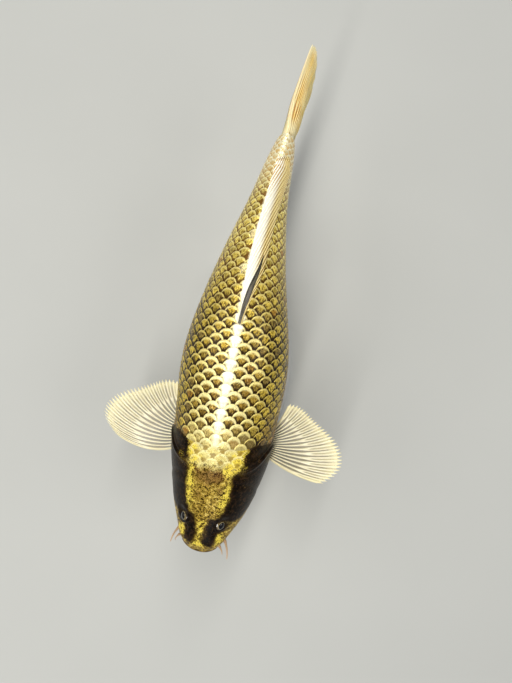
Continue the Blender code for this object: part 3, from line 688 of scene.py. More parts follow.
# ---- the coat of scales -------------------------------------------------------
NT, NC = 9, 13                                         # one scale's grid, along and across
TAU = 1 - (1 - np.linspace(0, 1, NT)) ** 1.25
CC = np.sin(math.pi / 2 * np.linspace(-1, 1, NC))
TE = REAR - ROUND * (1 - np.sqrt(np.maximum(1 - CC ** 2, 0)))
TT_ = FRONT + (TE[None, :] - FRONT) * TAU[:, None]     # (NT, NC) place along, in lengths
CT = np.broadcast_to(CC[None, :], TT_.shape)
COVER = np.maximum(REAR - 1 - ROUND * (1 - np.sqrt(np.maximum(1 - CT ** 2, 0))),
                   REAR - 0.5 - ROUND * (1 - np.sqrt(np.maximum(1 - (1 / HALF - np.abs(CT)) ** 2, 0))))
RIM = np.zeros(TT_.shape)
RIM[0, :] = RIM[-1, :] = RIM[:, 0] = RIM[:, -1] = 1
N1 = NT * NC
Q_TOP = grid_quads(NT, NC)
Q_LOW = grid_quads(NT, NC, base=N1, flip=True)
Q_RIM = rim_quads(NT, NC, 0, N1)
Q_ONE = np.concatenate([Q_TOP, Q_LOW, Q_RIM])
# one scale's patch in the bake map: outer face, then under face, then its rim
_g = np.stack(np.meshgrid(np.linspace(0, 1, NT), np.linspace(0, 1, NC), indexing="ij"), -1).reshape(-1, 2)
_uvt = _g * (0.94, 0.74) + (0.03, 0.03)
_uvl = _g * (0.94, 0.12) + (0.03, 0.81)
_nr = len(Q_RIM)
_k = np.arange(_nr)
_uvr = np.stack([np.stack([0.03 + 0.94 * (_k + 1) / _nr, np.full(_nr, 0.955)], -1),
                 np.stack([0.03 + 0.94 * _k / _nr, np.full(_nr, 0.955)], -1),
                 np.stack([0.03 + 0.94 * _k / _nr, np.full(_nr, 0.985)], -1),
                 np.stack([0.03 + 0.94 * (_k + 1) / _nr, np.full(_nr, 0.985)], -1)], 1)
UV_ONE = np.concatenate([_uvt[Q_TOP], _uvl[Q_LOW - N1], _uvr]).reshape(-1, 2)


def mixed(a, b, f):
    f = np.asarray(f)[..., None]
    return np.asarray(a) * (1 - f) + np.asarray(b) * f


def scale_colours(s, a, sd, r):
    """Colours of each scale: body, dark, rim, and the widths of dark zone and rim."""
    deg = np.degrees(a)
    tail = ease(150, 226, s)
    root = ease(238, 276, s)
    front = ease(185, 120, s)
    nape = ease(99, 82, s) * ease(44, 28, deg)
    ridge_highlight = ease(9, 3, deg)                            # the row on the ridge itself, painted near-white: a painted highlight along the back
    ridge = ease(48, 20, deg) * (0.15 + 0.85 * front)
    # painted halo of the ridge highlight: the rims of the rows beside the ridge are paler
    highlight_halo = ease(26, 12, deg) * (0.35 + 0.65 * front)
    low = ease(66, 92, deg)
    belly_ = ease(98, 134, deg)
    body = mixed((0.790, 0.575, 0.075), (0.985, 0.780, 0.170), tail)
    body = mixed(body, (0.330, 0.185, 0.028), ridge * 0.85)
    body = mixed(body, (0.860, 0.740, 0.300), nape * 0.8)
    body = mixed(body, (0.980, 0.940, 0.740), ridge_highlight * (1 - 0.5 * nape))
    body = mixed(body, mixed((0.320, 0.160, 0.040), (0.80, 0.56, 0.20), tail), low)
    body = mixed(body, (0.760, 0.610, 0.320), belly_)
    body = mixed(body, (0.960, 0.850, 0.480), root)
    rim = mixed((0.720, 0.555, 0.125), (0.970, 0.830, 0.310), tail)
    rim = mixed(rim, (0.960, 0.830, 0.330), ridge)
    rim = mixed(rim, (0.985, 0.880, 0.460), 0.6 * highlight_halo)
    rim = mixed(rim, (1.000, 0.970, 0.820), ridge_highlight * (1 - 0.6 * nape))
    rim = mixed(rim, (0.480, 0.300, 0.110), low * (1 - tail))
    rim = mixed(mixed(rim, (0.880, 0.790, 0.520), belly_), (0.980, 0.920, 0.640), root)
    darkc = mixed((0.020, 0.009, 0.002), (0.170, 0.078, 0.010), tail)
    darkc = mixed(darkc, (0.040, 0.020, 0.004), ridge * 0.7)
    darkc = mixed(darkc, (0.480, 0.350, 0.090), nape * 0.7)
    darkc = mixed(darkc, (0.880, 0.790, 0.520), ridge_highlight)
    darkc = mixed(darkc, (0.300, 0.170, 0.070), belly_)
    darkc = mixed(darkc, (0.720, 0.480, 0.180), root)
    shoulder = ease(108, 90, s) * ease(42, 58, deg) * (1 - ease(96, 112, deg))
    body = mixed(body, (0.150, 0.070, 0.026), 0.65 * shoulder)
    rim = mixed(rim, (0.360, 0.210, 0.070), 0.5 * shoulder)
    # under the painted ridge highlight the dark zone narrows and the rim widens
    gd = 2.25 - 0.25 * ridge - 1.1 * ridge_highlight + 0.9 * (r[:, 0] - 0.5) - 0.8 * tail - 1.3 * belly_ - 0.8 * nape
    rw = 0.50 + 1.75 * ridge + 0.8 * ridge_highlight + 0.50 * (r[:, 1] - 0.5) + 0.35 * tail
    # uneven: some scales paler, some smoky, a few orange-brown
    body = body * (0.70 + 0.54 * r[:, 2:3])
    smoky = (r[:, 3] > 0.76) * (1 - 0.8 * tail) * (1 - belly_) * ease(16, 34, deg)
    body = mixed(body, (0.120, 0.070, 0.045), 0.60 * smoky)
    rusty = (r[:, 4] > 0.95 - 0.05 * front) * ease(10, 24, deg) * (1 - belly_) * (1 - root)
    body = mixed(body, (0.480, 0.190, 0.022), 0.7 * rusty)
    return body, darkc, rim, gd, rw


def lay_scales(rows_of):
    """Roots of the scales: (s, signed arc, side, row spacing scale) in rows."""
    out = []
    for side_, j, kind in rows_of:
        n_max = int(PHASE[-1])
        p = np.arange(0, n_max) + (0.5 if (j % 2) else 0.0) + 0.25
        s = s_of_phase(p)
        up, dn_ = np.interp(s, GS, UP_ARC), np.interp(s, GS, DOWN_ARC)
        arc = -up if kind == "ridge" else dn_ if kind == "keel" else row_arc(s, j + 0 * s)
        r_up, r_dn = np.interp(s, GS, R_UP), np.interp(s, GS, R_DOWN)
        a = angle_of(s, arc)
        keep = (s >= scale_start(np.abs(a)) + 0.6) & (s < 291.0)
        if kind == "flank":
            keep &= (arc > -up + 0.5 * r_up) & (arc < dn_ - 0.5 * r_dn)
        k = np.nonzero(keep)[0]
        out.append(np.stack([p[k], s[k], a[k], np.full(len(k), side_), np.full(len(k), j), k,
                             np.full(len(k), {"flank": 0, "ridge": 1, "keel": 2}[kind])], -1))
    return out


def scale_group(name, rows_of, mat):
    rows_ = lay_scales(rows_of)
    nrow, nidx = len(rows_), int(max(r[:, 5].max() for r in rows_ if len(r)) + 1)
    lo_idx = int(min(r[:, 5].min() for r in rows_ if len(r)))
    data = np.concatenate([np.concatenate([r, np.full((len(r), 1), i)], 1) for i, r in enumerate(rows_)])
    p0, s0, a0, sd, jj, idx, kind, rowi = data.T
    n = len(data)
    r = rng.random((n, 6))
    tt = TT_[None] + 0 * p0[:, None, None]
    tilt = (r[:, 0] - 0.5)[:, None, None] * 0.05
    s = s_of_phase(np.clip(p0[:, None, None] + tt + tilt * CT[None], 0, PHASE[-1]))
    up, dn_ = np.interp(s, GS, UP_ARC), np.interp(s, GS, DOWN_ARC)
    r_up, r_dn = np.interp(s, GS, R_UP), np.interp(s, GS, R_DOWN)
    k3, j3 = kind[:, None, None], jj[:, None, None]
    R = np.where((k3 == 2) | ((k3 == 0) & (j3 > 0)), r_dn, r_up)
    arc = np.where(k3 == 1, -up + CT[None] * R * HALF,
                   np.where(k3 == 2, dn_ + CT[None] * R * HALF, row_arc(s, j3 + CT[None] * HALF)))
    a = angle_of(s, arc)
    sc = R / 6.4
    h = -0.14 - 0.50 * sc * (REAR - tt) - 0.16 * sc * CT[None] ** 2 - (r[:, 1])[:, None, None] * 0.05
    top = h - 0.05 * RIM[None]
    low = h - 0.21 * sc + 0.04 * RIM[None]
    side_ = sd[:, None, None]
    pt = place(*skin(s, a * side_, top)).reshape(n, -1, 3)
    pl = place(*skin(s, a * side_, low)).reshape(n, -1, 3)
    v = np.concatenate([pt, pl], 1)                    # (n, 2*N1, 3)
    off = (np.arange(n) * 2 * N1)[:, None, None]
    q = np.where((sd < 0)[:, None, None], Q_ONE[None, :, ::-1], Q_ONE[None]) + off
    uvs = np.where((sd < 0)[:, None, None, None], UV_ONE.reshape(1, -1, 4, 2)[:, :, ::-1], UV_ONE.reshape(1, -1, 4, 2))
    cell = np.stack([(idx - lo_idx) / (nidx - lo_idx), rowi / nrow], -1)[:, None, None, :]
    uvs = uvs * (1.0 / (nidx - lo_idx), 1.0 / nrow) + cell
    L = LENGTH_S(s0)[:, None, None]
    e_mm = (TE[None, None, :] - tt) * L
    g_mm = (tt - COVER[None]) * L
    fan = np.arctan2(CT[None] * R * HALF, (tt + 0.75) * L)
    highlight_row = ease(9, 3, np.degrees(np.abs(a0)))       # the ridge row's painted highlight lies only along its middle
    part_ = highlight_row[:, None, None] * ease(0.30, 0.78, np.abs(CT) + 0.16 * (r[:, 3] - 0.5)[:, None, None])

    def parted(f):
        f = np.concatenate([f.reshape(n, -1)] * 2, 1).reshape(-1)
        return lambda p, q: np.repeat(p, 2 * N1, axis=0) * (1 - (f[:, None] if p.ndim > 1 else f)) \
            + np.repeat(q, 2 * N1, axis=0) * (f[:, None] if p.ndim > 1 else f)

    join = parted(np.broadcast_to(part_, (n, NT, NC)))
    # inner_ holds the colours with the ridge row's painted highlight, outer_ those of the rows beside it
    inner_ = scale_colours(s0, np.abs(a0), sd, r)
    outer_ = scale_colours(s0, np.maximum(np.abs(a0), math.radians(13)), sd, r)
    body, darkc, rim, gd, rw = [join(p, q) for p, q in zip(inner_, outer_)]

    def both(f):
        f = np.broadcast_to(f, (n, NT, NC)).reshape(n, -1)
        return np.concatenate([f, f], 1).reshape(-1)

    def each(f):
        f = np.asarray(f)
        return np.repeat(f, 2 * N1, axis=0)

    under_ = np.concatenate([np.zeros((n, N1)), np.ones((n, N1))], 1).reshape(-1)
    ob = make_mesh(name, v.reshape(-1, 3), q.reshape(-1, 4), mat, uv=uvs.reshape(-1, 2), attrs={
        "e": both(e_mm), "g": both(g_mm), "fan": both(fan), "rnd": each(r[:, 5]), "cc": both(CT[None]),
        "gd": gd, "rw": rw, "body": body, "darkc": darkc, "rimc": rim})
    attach(ob, "root")
    return ob, n


sm = Mat("koi_scales", rough=0.30, metal=0.34, Coat_Weight=0.16, Coat_Roughness=0.12, IOR=1.18)
sc_co = sm.coords()
fine = sm.noise(sc_co, 2200.0, 2.0, 0.6)
blot = sm.noise(sc_co, 600.0, 3.0, 0.6)
rnd = sm.attr("rnd")
streak = sm.noise(sm.vec(sm.math("MULTIPLY", sm.attr("fan"), 4.6), sm.math("MULTIPLY", sm.attr("e"), 0.16),
                         sm.math("MULTIPLY", rnd, 40.0)), 2.6, 3.0, 0.65)
e_, g_ = sm.attr("e"), sm.attr("g")
s_body, s_dark, s_rim = sm.attr("body", "Color"), sm.attr("darkc", "Color"), sm.attr("rimc", "Color")
body = sm.mix(sm.step(streak, 0.38, 0.56), sm.mix(0.70, s_body, s_dark), s_body)
body = sm.mix(sm.step(streak, 0.56, 0.70), body, sm.mix(0.60, s_body, s_rim))
body = sm.mix(sm.math("MULTIPLY", sm.step(blot, 0.51, 0.60), 0.74), body, s_dark)
wavy = sm.math("MULTIPLY", sm.math("SUBTRACT", blot, 0.5), 2.2)
d_in = sm.math("SUBTRACT", sm.math("ADD", g_, sm.math("MULTIPLY", sm.math("SUBTRACT", streak, 0.5), 5.0)), sm.attr("gd"))
body = sm.mix(sm.step(d_in, -0.7, 1.0), s_dark, body)
wavy = sm.math("ADD", wavy, sm.math("MULTIPLY", sm.math("SUBTRACT", streak, 0.5), 3.0))
r_in = sm.math("SUBTRACT", sm.math("ADD", e_, wavy), sm.attr("rw"))
rimmed = sm.mix(sm.math("MULTIPLY", sm.step(fine, 0.50, 0.70), 0.25), s_rim, s_body)
col = sm.mix(sm.step(r_in, -0.60, 0.90), rimmed, body)
sm.put("Base Color", col)
sm.put("Roughness", sm.step(blot, 0.3, 0.7, 0.22, 0.38))
sm.bump(sm.math("ADD", sm.math("MULTIPLY", streak, 0.8), sm.math("MULTIPLY", fine, 0.5)), 0.00026, 0.7)

count = 0
for tag, sd_ in (("left", 1), ("right", -1)):
    for part, js in (("back", range(-11, -5)), ("flank", range(-5, 3)), ("belly", range(3, 12))):
        rows_of = [(sd_, j, "flank") for j in js]
        if tag == "left" and part == "back":
            rows_of.append((1, 0, "ridge"))
        if tag == "left" and part == "belly":
            rows_of.append((1, 0, "keel"))
        _, n_ = scale_group("scales_%s_%s" % (part, tag), rows_of, sm.mat)
        count += n_


# ---- eyes ---------------------------------------------------------------------
em = Mat("koi_eye", rough=0.10, metal=0.0, Coat_Weight=0.6, Coat_Roughness=0.03, IOR=1.30)
th = em.attr("th")
en = em.noise(em.coords(), 900.0, 3.0, 0.6)
thn = em.math("ADD", th, em.math("MULTIPLY", em.math("SUBTRACT", en, 0.5), 0.10))
iris = em.mix(em.step(en, 0.40, 0.62), (0.014, 0.009, 0.006), (0.11, 0.070, 0.020))
ring = em.mix(em.step(thn, 0.585, 0.63), (0.34, 0.27, 0.13), iris)
eye_col = em.mix(em.step(th, 0.535, 0.550), (0.003, 0.003, 0.004), ring)
eye_col = em.mix(em.step(th, 0.98, 1.10), eye_col, (0.012, 0.008, 0.006))
em.put("Base Color", eye_col)
for sx, tag in ((1, "left"), (-1, "right")):
    g = gaze[sx]
    u_ = np.cross(g, [1.0, 0, 0])
    u_ /= np.linalg.norm(u_)
    v_ = np.cross(g, u_)
    nt_, np_ = 48, 64
    th_ = np.linspace(0.012, math.pi - 0.012, nt_)
    ph_ = 2 * math.pi * np.arange(np_) / np_
    T_, F_ = np.meshgrid(th_, ph_, indexing="ij")
    rad = (EYE_RADIUS - 0.05) - 0.28 * ease(0.0, 0.9, T_) * (1 - ease(1.1, 1.5, T_))   # not used: the next line sets the radius again
    rad = (EYE_RADIUS - 0.28) + 0.24 * (1 - ease(0.35, 0.8, T_))
    pts = (np.cos(T_)[..., None] * g + np.sin(T_)[..., None] *
           (np.cos(F_)[..., None] * u_ + np.sin(F_)[..., None] * v_)) * rad[..., None] \
        + np.array([EYE_S, sx * EYE_X, EYE_Z])
    ev = place(pts[..., 0], pts[..., 1], pts[..., 2]).reshape(-1, 3)
    ctr = np.array([EYE_S, sx * EYE_X, EYE_Z])
    ends = [place(*(ctr + g * (EYE_RADIUS - 0.04)))[None], place(*(ctr - g * (EYE_RADIUS - 0.28)))[None]]
    nv_ = len(ev)
    kk, kn = np.arange(np_), np.roll(np.arange(np_), -1)
    tri = np.concatenate([np.stack([np.full(np_, nv_), kn, kk], -1),
                          np.stack([np.full(np_, nv_ + 1), (nt_ - 1) * np_ + kk, (nt_ - 1) * np_ + kn], -1)])
    ob = make_mesh("eye_ball_" + tag, np.concatenate([ev] + ends), grid_quads(nt_, np_, wrap=True), em.mat,
                   tris=tri, attrs={"th": np.concatenate([T_.ravel(), [0.0, math.pi]])})
    outward(ob)
    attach(ob, "root")
    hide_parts("eye_" + tag)


# ---- barbels ------------------------------------------------------------------
def unit(v):
    return v / np.maximum(np.linalg.norm(v, axis=-1, keepdims=True), 1e-12)


def tube(name, path, radii, mat, sides=14, t_attr="t"):
    """A round closed tube through metre points, with its ends drawn to a point."""
    path, radii = np.asarray(path), np.asarray(radii)
    d = unit(np.gradient(path, axis=0))
    u = unit(np.cross(d, [0.0, 0.0, 1.0]))
    w = np.cross(d, u)
    ph = 2 * math.pi * np.arange(sides) / sides
    v = path[:, None] + (u[:, None] * np.cos(ph)[None, :, None] + w[:, None] * np.sin(ph)[None, :, None]) \
        * radii[:, None, None]
    n = len(path)
    v = np.concatenate([v.reshape(-1, 3), path[:1], path[-1:] + d[-1:] * radii[-1] * 0.8])
    k, kn = np.arange(sides), np.roll(np.arange(sides), -1)
    tri = np.concatenate([np.stack([np.full(sides, n * sides), kn, k], -1),
                          np.stack([np.full(sides, n * sides + 1), (n - 1) * sides + k, (n - 1) * sides + kn], -1)])
    t = np.concatenate([np.repeat(np.linspace(0, 1, n), sides), [0, 1]])
    return outward(make_mesh(name, v, grid_quads(n, sides, wrap=True), mat, tris=tri, attrs={t_attr: t}))


bm_ = Mat("koi_barbel", rough=0.34, Coat_Weight=0.4, Coat_Roughness=0.15)
bn = bm_.noise(bm_.coords(), 1400.0, 3.0, 0.6)
bc = bm_.mix(bm_.step(bn, 0.35, 0.65), (0.24, 0.135, 0.060), (0.46, 0.29, 0.14))
bm_.put("Base Color", bm_.mix(bm_.attr("t"), bc, (0.62, 0.42, 0.26)))
bm_.bump(bn, 0.0001, 0.5)
for sx, tag in ((1, "left"), (-1, "right")):
    for kind, root, knee, tip, fat in (
            ("upper", (7.6, 14.6, -3.2), (3.6, 17.6, -5.6), (0.2, 17.4, -9.4), 0.75),
            ("lower", (10.4, 16.9, -8.2), (4.0, 20.6, -11.2), (-4.4, 21.4, -15.6), 0.95)):
        root, knee, tip = (np.array([p[0], sx * p[1], p[2]]) for p in (root, knee, tip))
        t = np.linspace(-0.16, 1, 26)[:, None]
        pts = root * (1 - t) ** 2 + knee * 2 * t * (1 - t) + tip * t * t
        pts[:, 1] -= sx * 1.6 * np.maximum(-t[:, 0], 0) / 0.16
        rad = fat * (1 - 0.62 * np.maximum(t[:, 0], 0)) * (1 + 0.35 * bumped(t[:, 0], 0.14)) * MM
        ob = tube("feeler_%s_%s" % (kind, tag), place(pts[:, 0], pts[:, 1], pts[:, 2]), rad, bm_.mat)
        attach(ob, "root")
        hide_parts("barbel_%s_%s" % (kind, tag))


# ---- fins ---------------------------------------------------------------------
def peak(x, sharp):
    return (0.5 - 0.5 * np.cos(2 * math.pi * x)) ** sharp


def ray_form(phi, v, split1=(0.30, 0.52), split2=(0.62, 0.86)):
    """Height 0..1 of branching rays; phi counts rays across, v runs to the margin."""
    e1, e2 = ease(*split1, v), ease(*split2, v)
    one, two, four = peak(phi, 2.4), peak(2 * phi, 1.7), peak(4 * phi, 1.2)
    return one * (1 - e1) + two * e1 * (1 - e2) + four * e2


def fin_piece(name, surface, n_rays, nu, nv, mat, nodes, thick, ray_high, v_from=-1.0, web=0.16,
              scallop=0.035, u_off=0.0, split1=(0.30, 0.52), split2=(0.62, 0.86), two_sided=True):
    """A closed finned sheet.  surface(u, w): w in 0..1 root to margin, below 0 inside the flesh.
    thick(u, w) is the half thickness of the web, ray_high(u, w) the rays' height on each side."""
    u = np.linspace(0, 1, nu)
    w = np.concatenate([np.linspace(v_from, 0, 5)[:-1], np.linspace(0, 1, nv)]) if v_from < 0 \
        else np.linspace(0, 1, nv)
    U, W = np.meshgrid(u, w, indexing="ij")
    phi = U * n_rays + u_off
    wp = np.clip(W, 0, 1)
    ray = ray_form(phi, wp, split1, split2)
    tips = ray_form(phi, np.ones_like(wp), split1, split2)
    Wm = np.where(W > 0, W * (1 - scallop * (1 - tips) * wp ** 8), W)
    mid = surface(U, Wm)
    du, dv = np.gradient(mid, axis=0), np.gradient(mid, axis=1)
    nrm = unit(np.cross(du, dv))
    joint = 1 - 0.16 * (0.5 + 0.5 * np.cos(W * 2 * math.pi * 26)) * ease(0.25, 0.4, wp)
    half = thick(U, wp) + ray * ray_high(U, wp) * joint
    half = half * (1 - 0.55 * ease(0.985, 1.0, wp))
    rim_ = np.zeros_like(half)
    wave = 0.22 * np.sin(phi * 2 * math.pi * 0.5 + 1.3) * ease(0.3, 1.0, wp) * (1 - np.abs(2 * U - 1) ** 4)
    top = mid + nrm * (half + wave)[..., None]
    low = mid - nrm * (half - wave)[..., None]
    v = np.concatenate([place(top[..., 0], top[..., 1], top[..., 2]).reshape(-1, 3),
                        place(low[..., 0], low[..., 1], low[..., 2]).reshape(-1, 3)])
    m, k = U.shape
    n1 = m * k
    q = np.concatenate([grid_quads(m, k), grid_quads(m, k, base=n1, flip=True), rim_quads(m, k, 0, n1)])
    two = lambda f: np.concatenate([f.ravel(), f.ravel()])
    ob = outward(make_mesh(name, v, q, mat, attrs={"ray": two(ray), "w": two(wp), "u": two(U), "phi": two(phi)}))
    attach(ob, "root")
    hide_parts(*nodes)
    return ob


def fin_material(name, ray_a, ray_b, web_a, web_b, tip, root, tip_from=0.62, web_from=0.10, outer=None):
    m = Mat(name, rough=0.36, Coat_Weight=0.35, Coat_Roughness=0.18)
    m.bsdf.inputs["Subsurface Weight"].default_value = 0.12
    m.bsdf.inputs["Subsurface Radius"].default_value = (0.002, 0.0014, 0.0008)
    m.bsdf.inputs["Subsurface Scale"].default_value = 1.0
    ray, w, u, phi = m.attr("ray"), m.attr("w"), m.attr("u"), m.attr("phi")
    along = m.noise(m.vec(m.math("MULTIPLY", phi, 5.0), m.math("MULTIPLY", w, 2.4), 0.0), 1.6, 4.0, 0.6)
    fleck = m.noise(m.coords(), 700.0, 3.0, 0.6)
    raycol = m.mix(m.step(along, 0.35, 0.65), ray_a, ray_b)
    webcol = m.mix(m.step(along, 0.35, 0.65), web_a, web_b)
    if outer:                                          # paler out towards the margin, least so between whole rays
        gap = m.math("POWER", m.math("MULTIPLY_ADD", m.math("COSINE", m.math("MULTIPLY", phi, 2 * math.pi)), 0.5, 0.5), 2.0)
        fade = m.math("MULTIPLY", m.step(w, 0.22, 0.78), m.math("SUBTRACT", 1.0, m.math("MULTIPLY", gap, 0.62)))
        webcol = m.mix(fade, webcol, outer)
    f = m.math("ADD", ray, m.math("MULTIPLY", m.math("SUBTRACT", along, 0.5), 0.35))
    c = m.mix(m.step(f, web_from, 0.46), webcol, raycol)
    c = m.mix(m.math("MULTIPLY", m.step(w, tip_from, 1.0), m.step(fleck, 0.3, 0.6, 0.25, 0.75)), c, tip)
    side = m.math("ABSOLUTE", m.math("SUBTRACT", m.math("MULTIPLY", u, 2.0), 1.0))
    c = m.mix(m.math("MULTIPLY", m.step(side, 0.86, 1.0), 0.7), c, tip)
    c = m.mix(m.step(w, 0.16, 0.0), c, root)
    m.put("Base Color", c)
    m.put("Roughness", m.step(fleck, 0.3, 0.7, 0.30, 0.46))
    seg = m.math("SINE", m.math("MULTIPLY", w, 160.0))
    m.bump(m.math("ADD", m.math("MULTIPLY", along, 0.7), m.math("MULTIPLY", m.math("MULTIPLY", seg, ray), 0.16)),
           0.00025, 0.6)
    return m


pale = fin_material("koi_pectoral", (0.88, 0.82, 0.60), (0.68, 0.62, 0.42), (0.16, 0.15, 0.105), (0.080, 0.076, 0.054),
                    (0.88, 0.79, 0.46), (0.34, 0.25, 0.11), tip_from=0.78, web_from=0.18, outer=(0.40, 0.345, 0.185))
soft = fin_material("koi_soft_fins", (0.84, 0.72, 0.45), (0.68, 0.54, 0.30), (0.56, 0.44, 0.24), (0.42, 0.32, 0.17),
                    (0.86, 0.77, 0.50), (0.62, 0.45, 0.22))
gold_fin = fin_material("koi_tail", (0.97, 0.85, 0.44), (0.91, 0.64, 0.16), (0.66, 0.33, 0.045), (0.40, 0.17, 0.020),
                        (0.90, 0.80, 0.50), (0.84, 0.72, 0.40), tip_from=0.88, web_from=0.16)

PECTORAL_U = (0.0, 0.15, 0.30, 0.45, 0.60, 0.75, 0.90, 1.0)
PECTORAL_ANGLE = smooth_curve(PECTORAL_U, (-23, -13, -4, 5, 15, 27, 42, 55))
PECTORAL_LENGTH = smooth_curve(PECTORAL_U, (50, 58.5, 58.5, 52.5, 44, 37.5, 33, 28))


def pectoral(side, swing, sweep, root_s, scale):
    def surface(u, w):
        v = np.clip(w, 0, 1)
        rs, rx, rz = clear_of_body(root_s + 12.0 * u, side * 20.0, -27.0 + 3.0 * u, 1.1)
        ang = np.radians(PECTORAL_ANGLE(u) + swing)
        reach = PECTORAL_LENGTH(u) * scale
        bow = np.radians(-sweep * (1 - 0.5 * u)) * (1 - v)
        x = reach * v * np.cos(ang + bow)
        s = reach * v * np.sin(ang + bow)
        rise = 10.0 * v ** 1.3 - 5.0 * v * u + 1.0 * np.sin(math.pi * v)
        p = np.stack(clear_of_body(rs + s, rx + side * x, rz + rise, 1.1), -1)
        inner = np.minimum(w, 0)
        p[..., 1] += side * 4.6 * inner                # the lobe at the root runs into the flank
        p[..., 0] += -2.2 * inner * (u - 0.5) * -1.0
        return p
    return surface


def fleshy(root, edge, lobe=1.0, fall=0.07):
    return lambda u, w: edge + (root - edge) * (1 - w) ** 2.2 + lobe * (1 - ease(0.0, fall, w)) * (1 - (2 * u - 1) ** 6)


for side, tag, args in ((1, "left", (1, 10.0, 16.0, 73.0, 1.0)), (-1, "right", (-1, 15.0, 44.0, 71.0, 1.13))):
    fin_piece("pectoral_" + tag, pectoral(*args), 16.0, 16 * 14 + 1, 76, pale.mat, ["pectoral_fin_" + tag],
              fleshy(0.42, 0.13, 0.75), lambda u, w: 0.42 * (1 - w) ** 0.6 * (1 - 0.3 * u) + 0.10,
              scallop=0.06, split1=(0.50, 0.72), split2=(3.0, 4.0))


def pelvic(side):
    def surface(u, w):
        v = np.clip(w, 0, 1)
        s0 = 146.0 + 9.0 * u
        rx = side * (13.5 - 3.0 * u)
        rz = skin(s0, math.pi - np.arcsin(np.clip(np.abs(rx) / half_width(s0), 0, 1)))[2] - 1.6
        reach = 41.0 - 15.0 * u ** 1.4
        ang = np.radians(67 + 19 * u)
        p = np.stack([s0 + reach * v * np.sin(ang), rx + side * reach * v * np.cos(ang) * 0.9,
                      rz - 9.0 * v * (1 - 0.3 * u) + 3.0 * v * v], -1)
        p[..., 2] -= 4.0 * np.minimum(w, 0)
        return p
    return surface


for side, tag in ((1, "left"), (-1, "right")):
    fin_piece("pelvic_" + tag, pelvic(side), 9.0, 9 * 14 + 1, 52, soft.mat, ["pelvic_fin_" + tag],
              fleshy(0.42, 0.13, 0.7, 0.1), lambda u, w: 0.36 * (1 - w) ** 0.6 + 0.09, scallop=0.05)


def anal(u, w):
    v = np.clip(w, 0, 1)
    s0 = ANAL_START + (ANAL_END - ANAL_START) * u
    reach = 36.0 * (1 - 0.62 * u)
    ang = np.radians(48 - 14 * u)
    p = np.stack([s0 + reach * v * np.cos(ang), 1.2 * np.sin(math.pi * v),
                  belly(s0) - 0.9 - reach * v * np.sin(ang)], -1)
    p[..., 2] -= 4.0 * np.minimum(w, 0)
    return p


fin_piece("anal", anal, 8.0, 8 * 14 + 1, 52, soft.mat, ["anal_fin"],
          fleshy(0.5, 0.14, 0.5, 0.1), lambda u, w: 0.40 * (1 - w) ** 0.6 + 0.09, scallop=0.05)


def tail(u, w):
    h = 2 * u - 1
    v = np.clip(w, 0, 1)
    z0 = 15.6 * h
    s0 = BODY_LENGTH + 0.34 + 1.2
    reach = 29.0 + (TOTAL_LENGTH - BODY_LENGTH - 28.0) * np.abs(h) ** 0.75 - 2.6 * ease(0.86, 1.0, np.abs(h)) \
        - 2.0 * np.where(h < 0, np.abs(h), 0)
    z = z0 + (31.0 * h - z0) * v ** 0.9
    g = ease(-0.35, 0.36, v)
    cup = 1 - np.where(h > 0, np.abs(h) ** 4.0, np.abs(h) ** 1.8)
    edge_ = np.where(h > 0, -3.2 * h * (1 - 0.6 * v), 2.4 * h * v)
    x = g * (5.9 * cup + edge_ - 1.2) + 1.7 * v ** 3
    p = np.stack([s0 + reach * v, x, z], -1)
    p[..., 0] += 6.0 * np.minimum(w, 0)
    return p


fin_piece("caudal", tail, 18.0, 18 * 14 + 1, 84, gold_fin.mat, ["tail_fin_upper_lobe", "tail_fin_lower_lobe"],
          lambda u, w: 0.16 + 1.70 * (1 - w) ** 2.6 + 0.30 * (1 - ease(0, 0.1, w)),
          lambda u, w: 0.42 * (1 - w) ** 0.5 + 0.10, scallop=0.04, split1=(0.22, 0.42), split2=(0.52, 0.78))


# dorsal fin, folded down along the back over to the fish's left
def dorsal_width(s):
    grow = ease(DORSAL_START - 4, SPINE_TIP - 2, s)
    flare = 0.8 * ease(225, 262, s) - 2.6 * ease(264, DORSAL_TIPS, s)
    return 1.2 + 6.8 * grow + flare


def dorsal_height(s):
    return 0.9 + 2.6 * ease(DORSAL_START, 186, s) * (1 - 0.75 * ease(205, DORSAL_TIPS, s))


def dorsal_rays(s, v):
    """Folded rays: each leaves the ridge and runs back, out to the free edge."""
    phi = 7.0 * ((s - 160) / 46 - v)
    return peak(phi, 1.3) * (1 - ease(0.5, 0.9, v) * ease(215, 250, s)) \
        + peak(2 * phi, 1.1) * ease(0.5, 0.9, v) * ease(215, 250, s)


def slate_field(s, v):
    """The dark front spine lies as a narrow leaf from the ridge to the free edge."""
    at = (158, 166, 175, 184, 194, 201, 208)
    mid = np.interp(s, at, (0.52, 0.54, 0.55, 0.58, 0.67, 0.72, 0.77))
    half = np.interp(s, at, (0.26, 0.28, 0.27, 0.20, 0.11, 0.06, -0.02))
    return np.clip(0.5 + (half - np.abs(v - mid)) * 6.0, 0, 1)


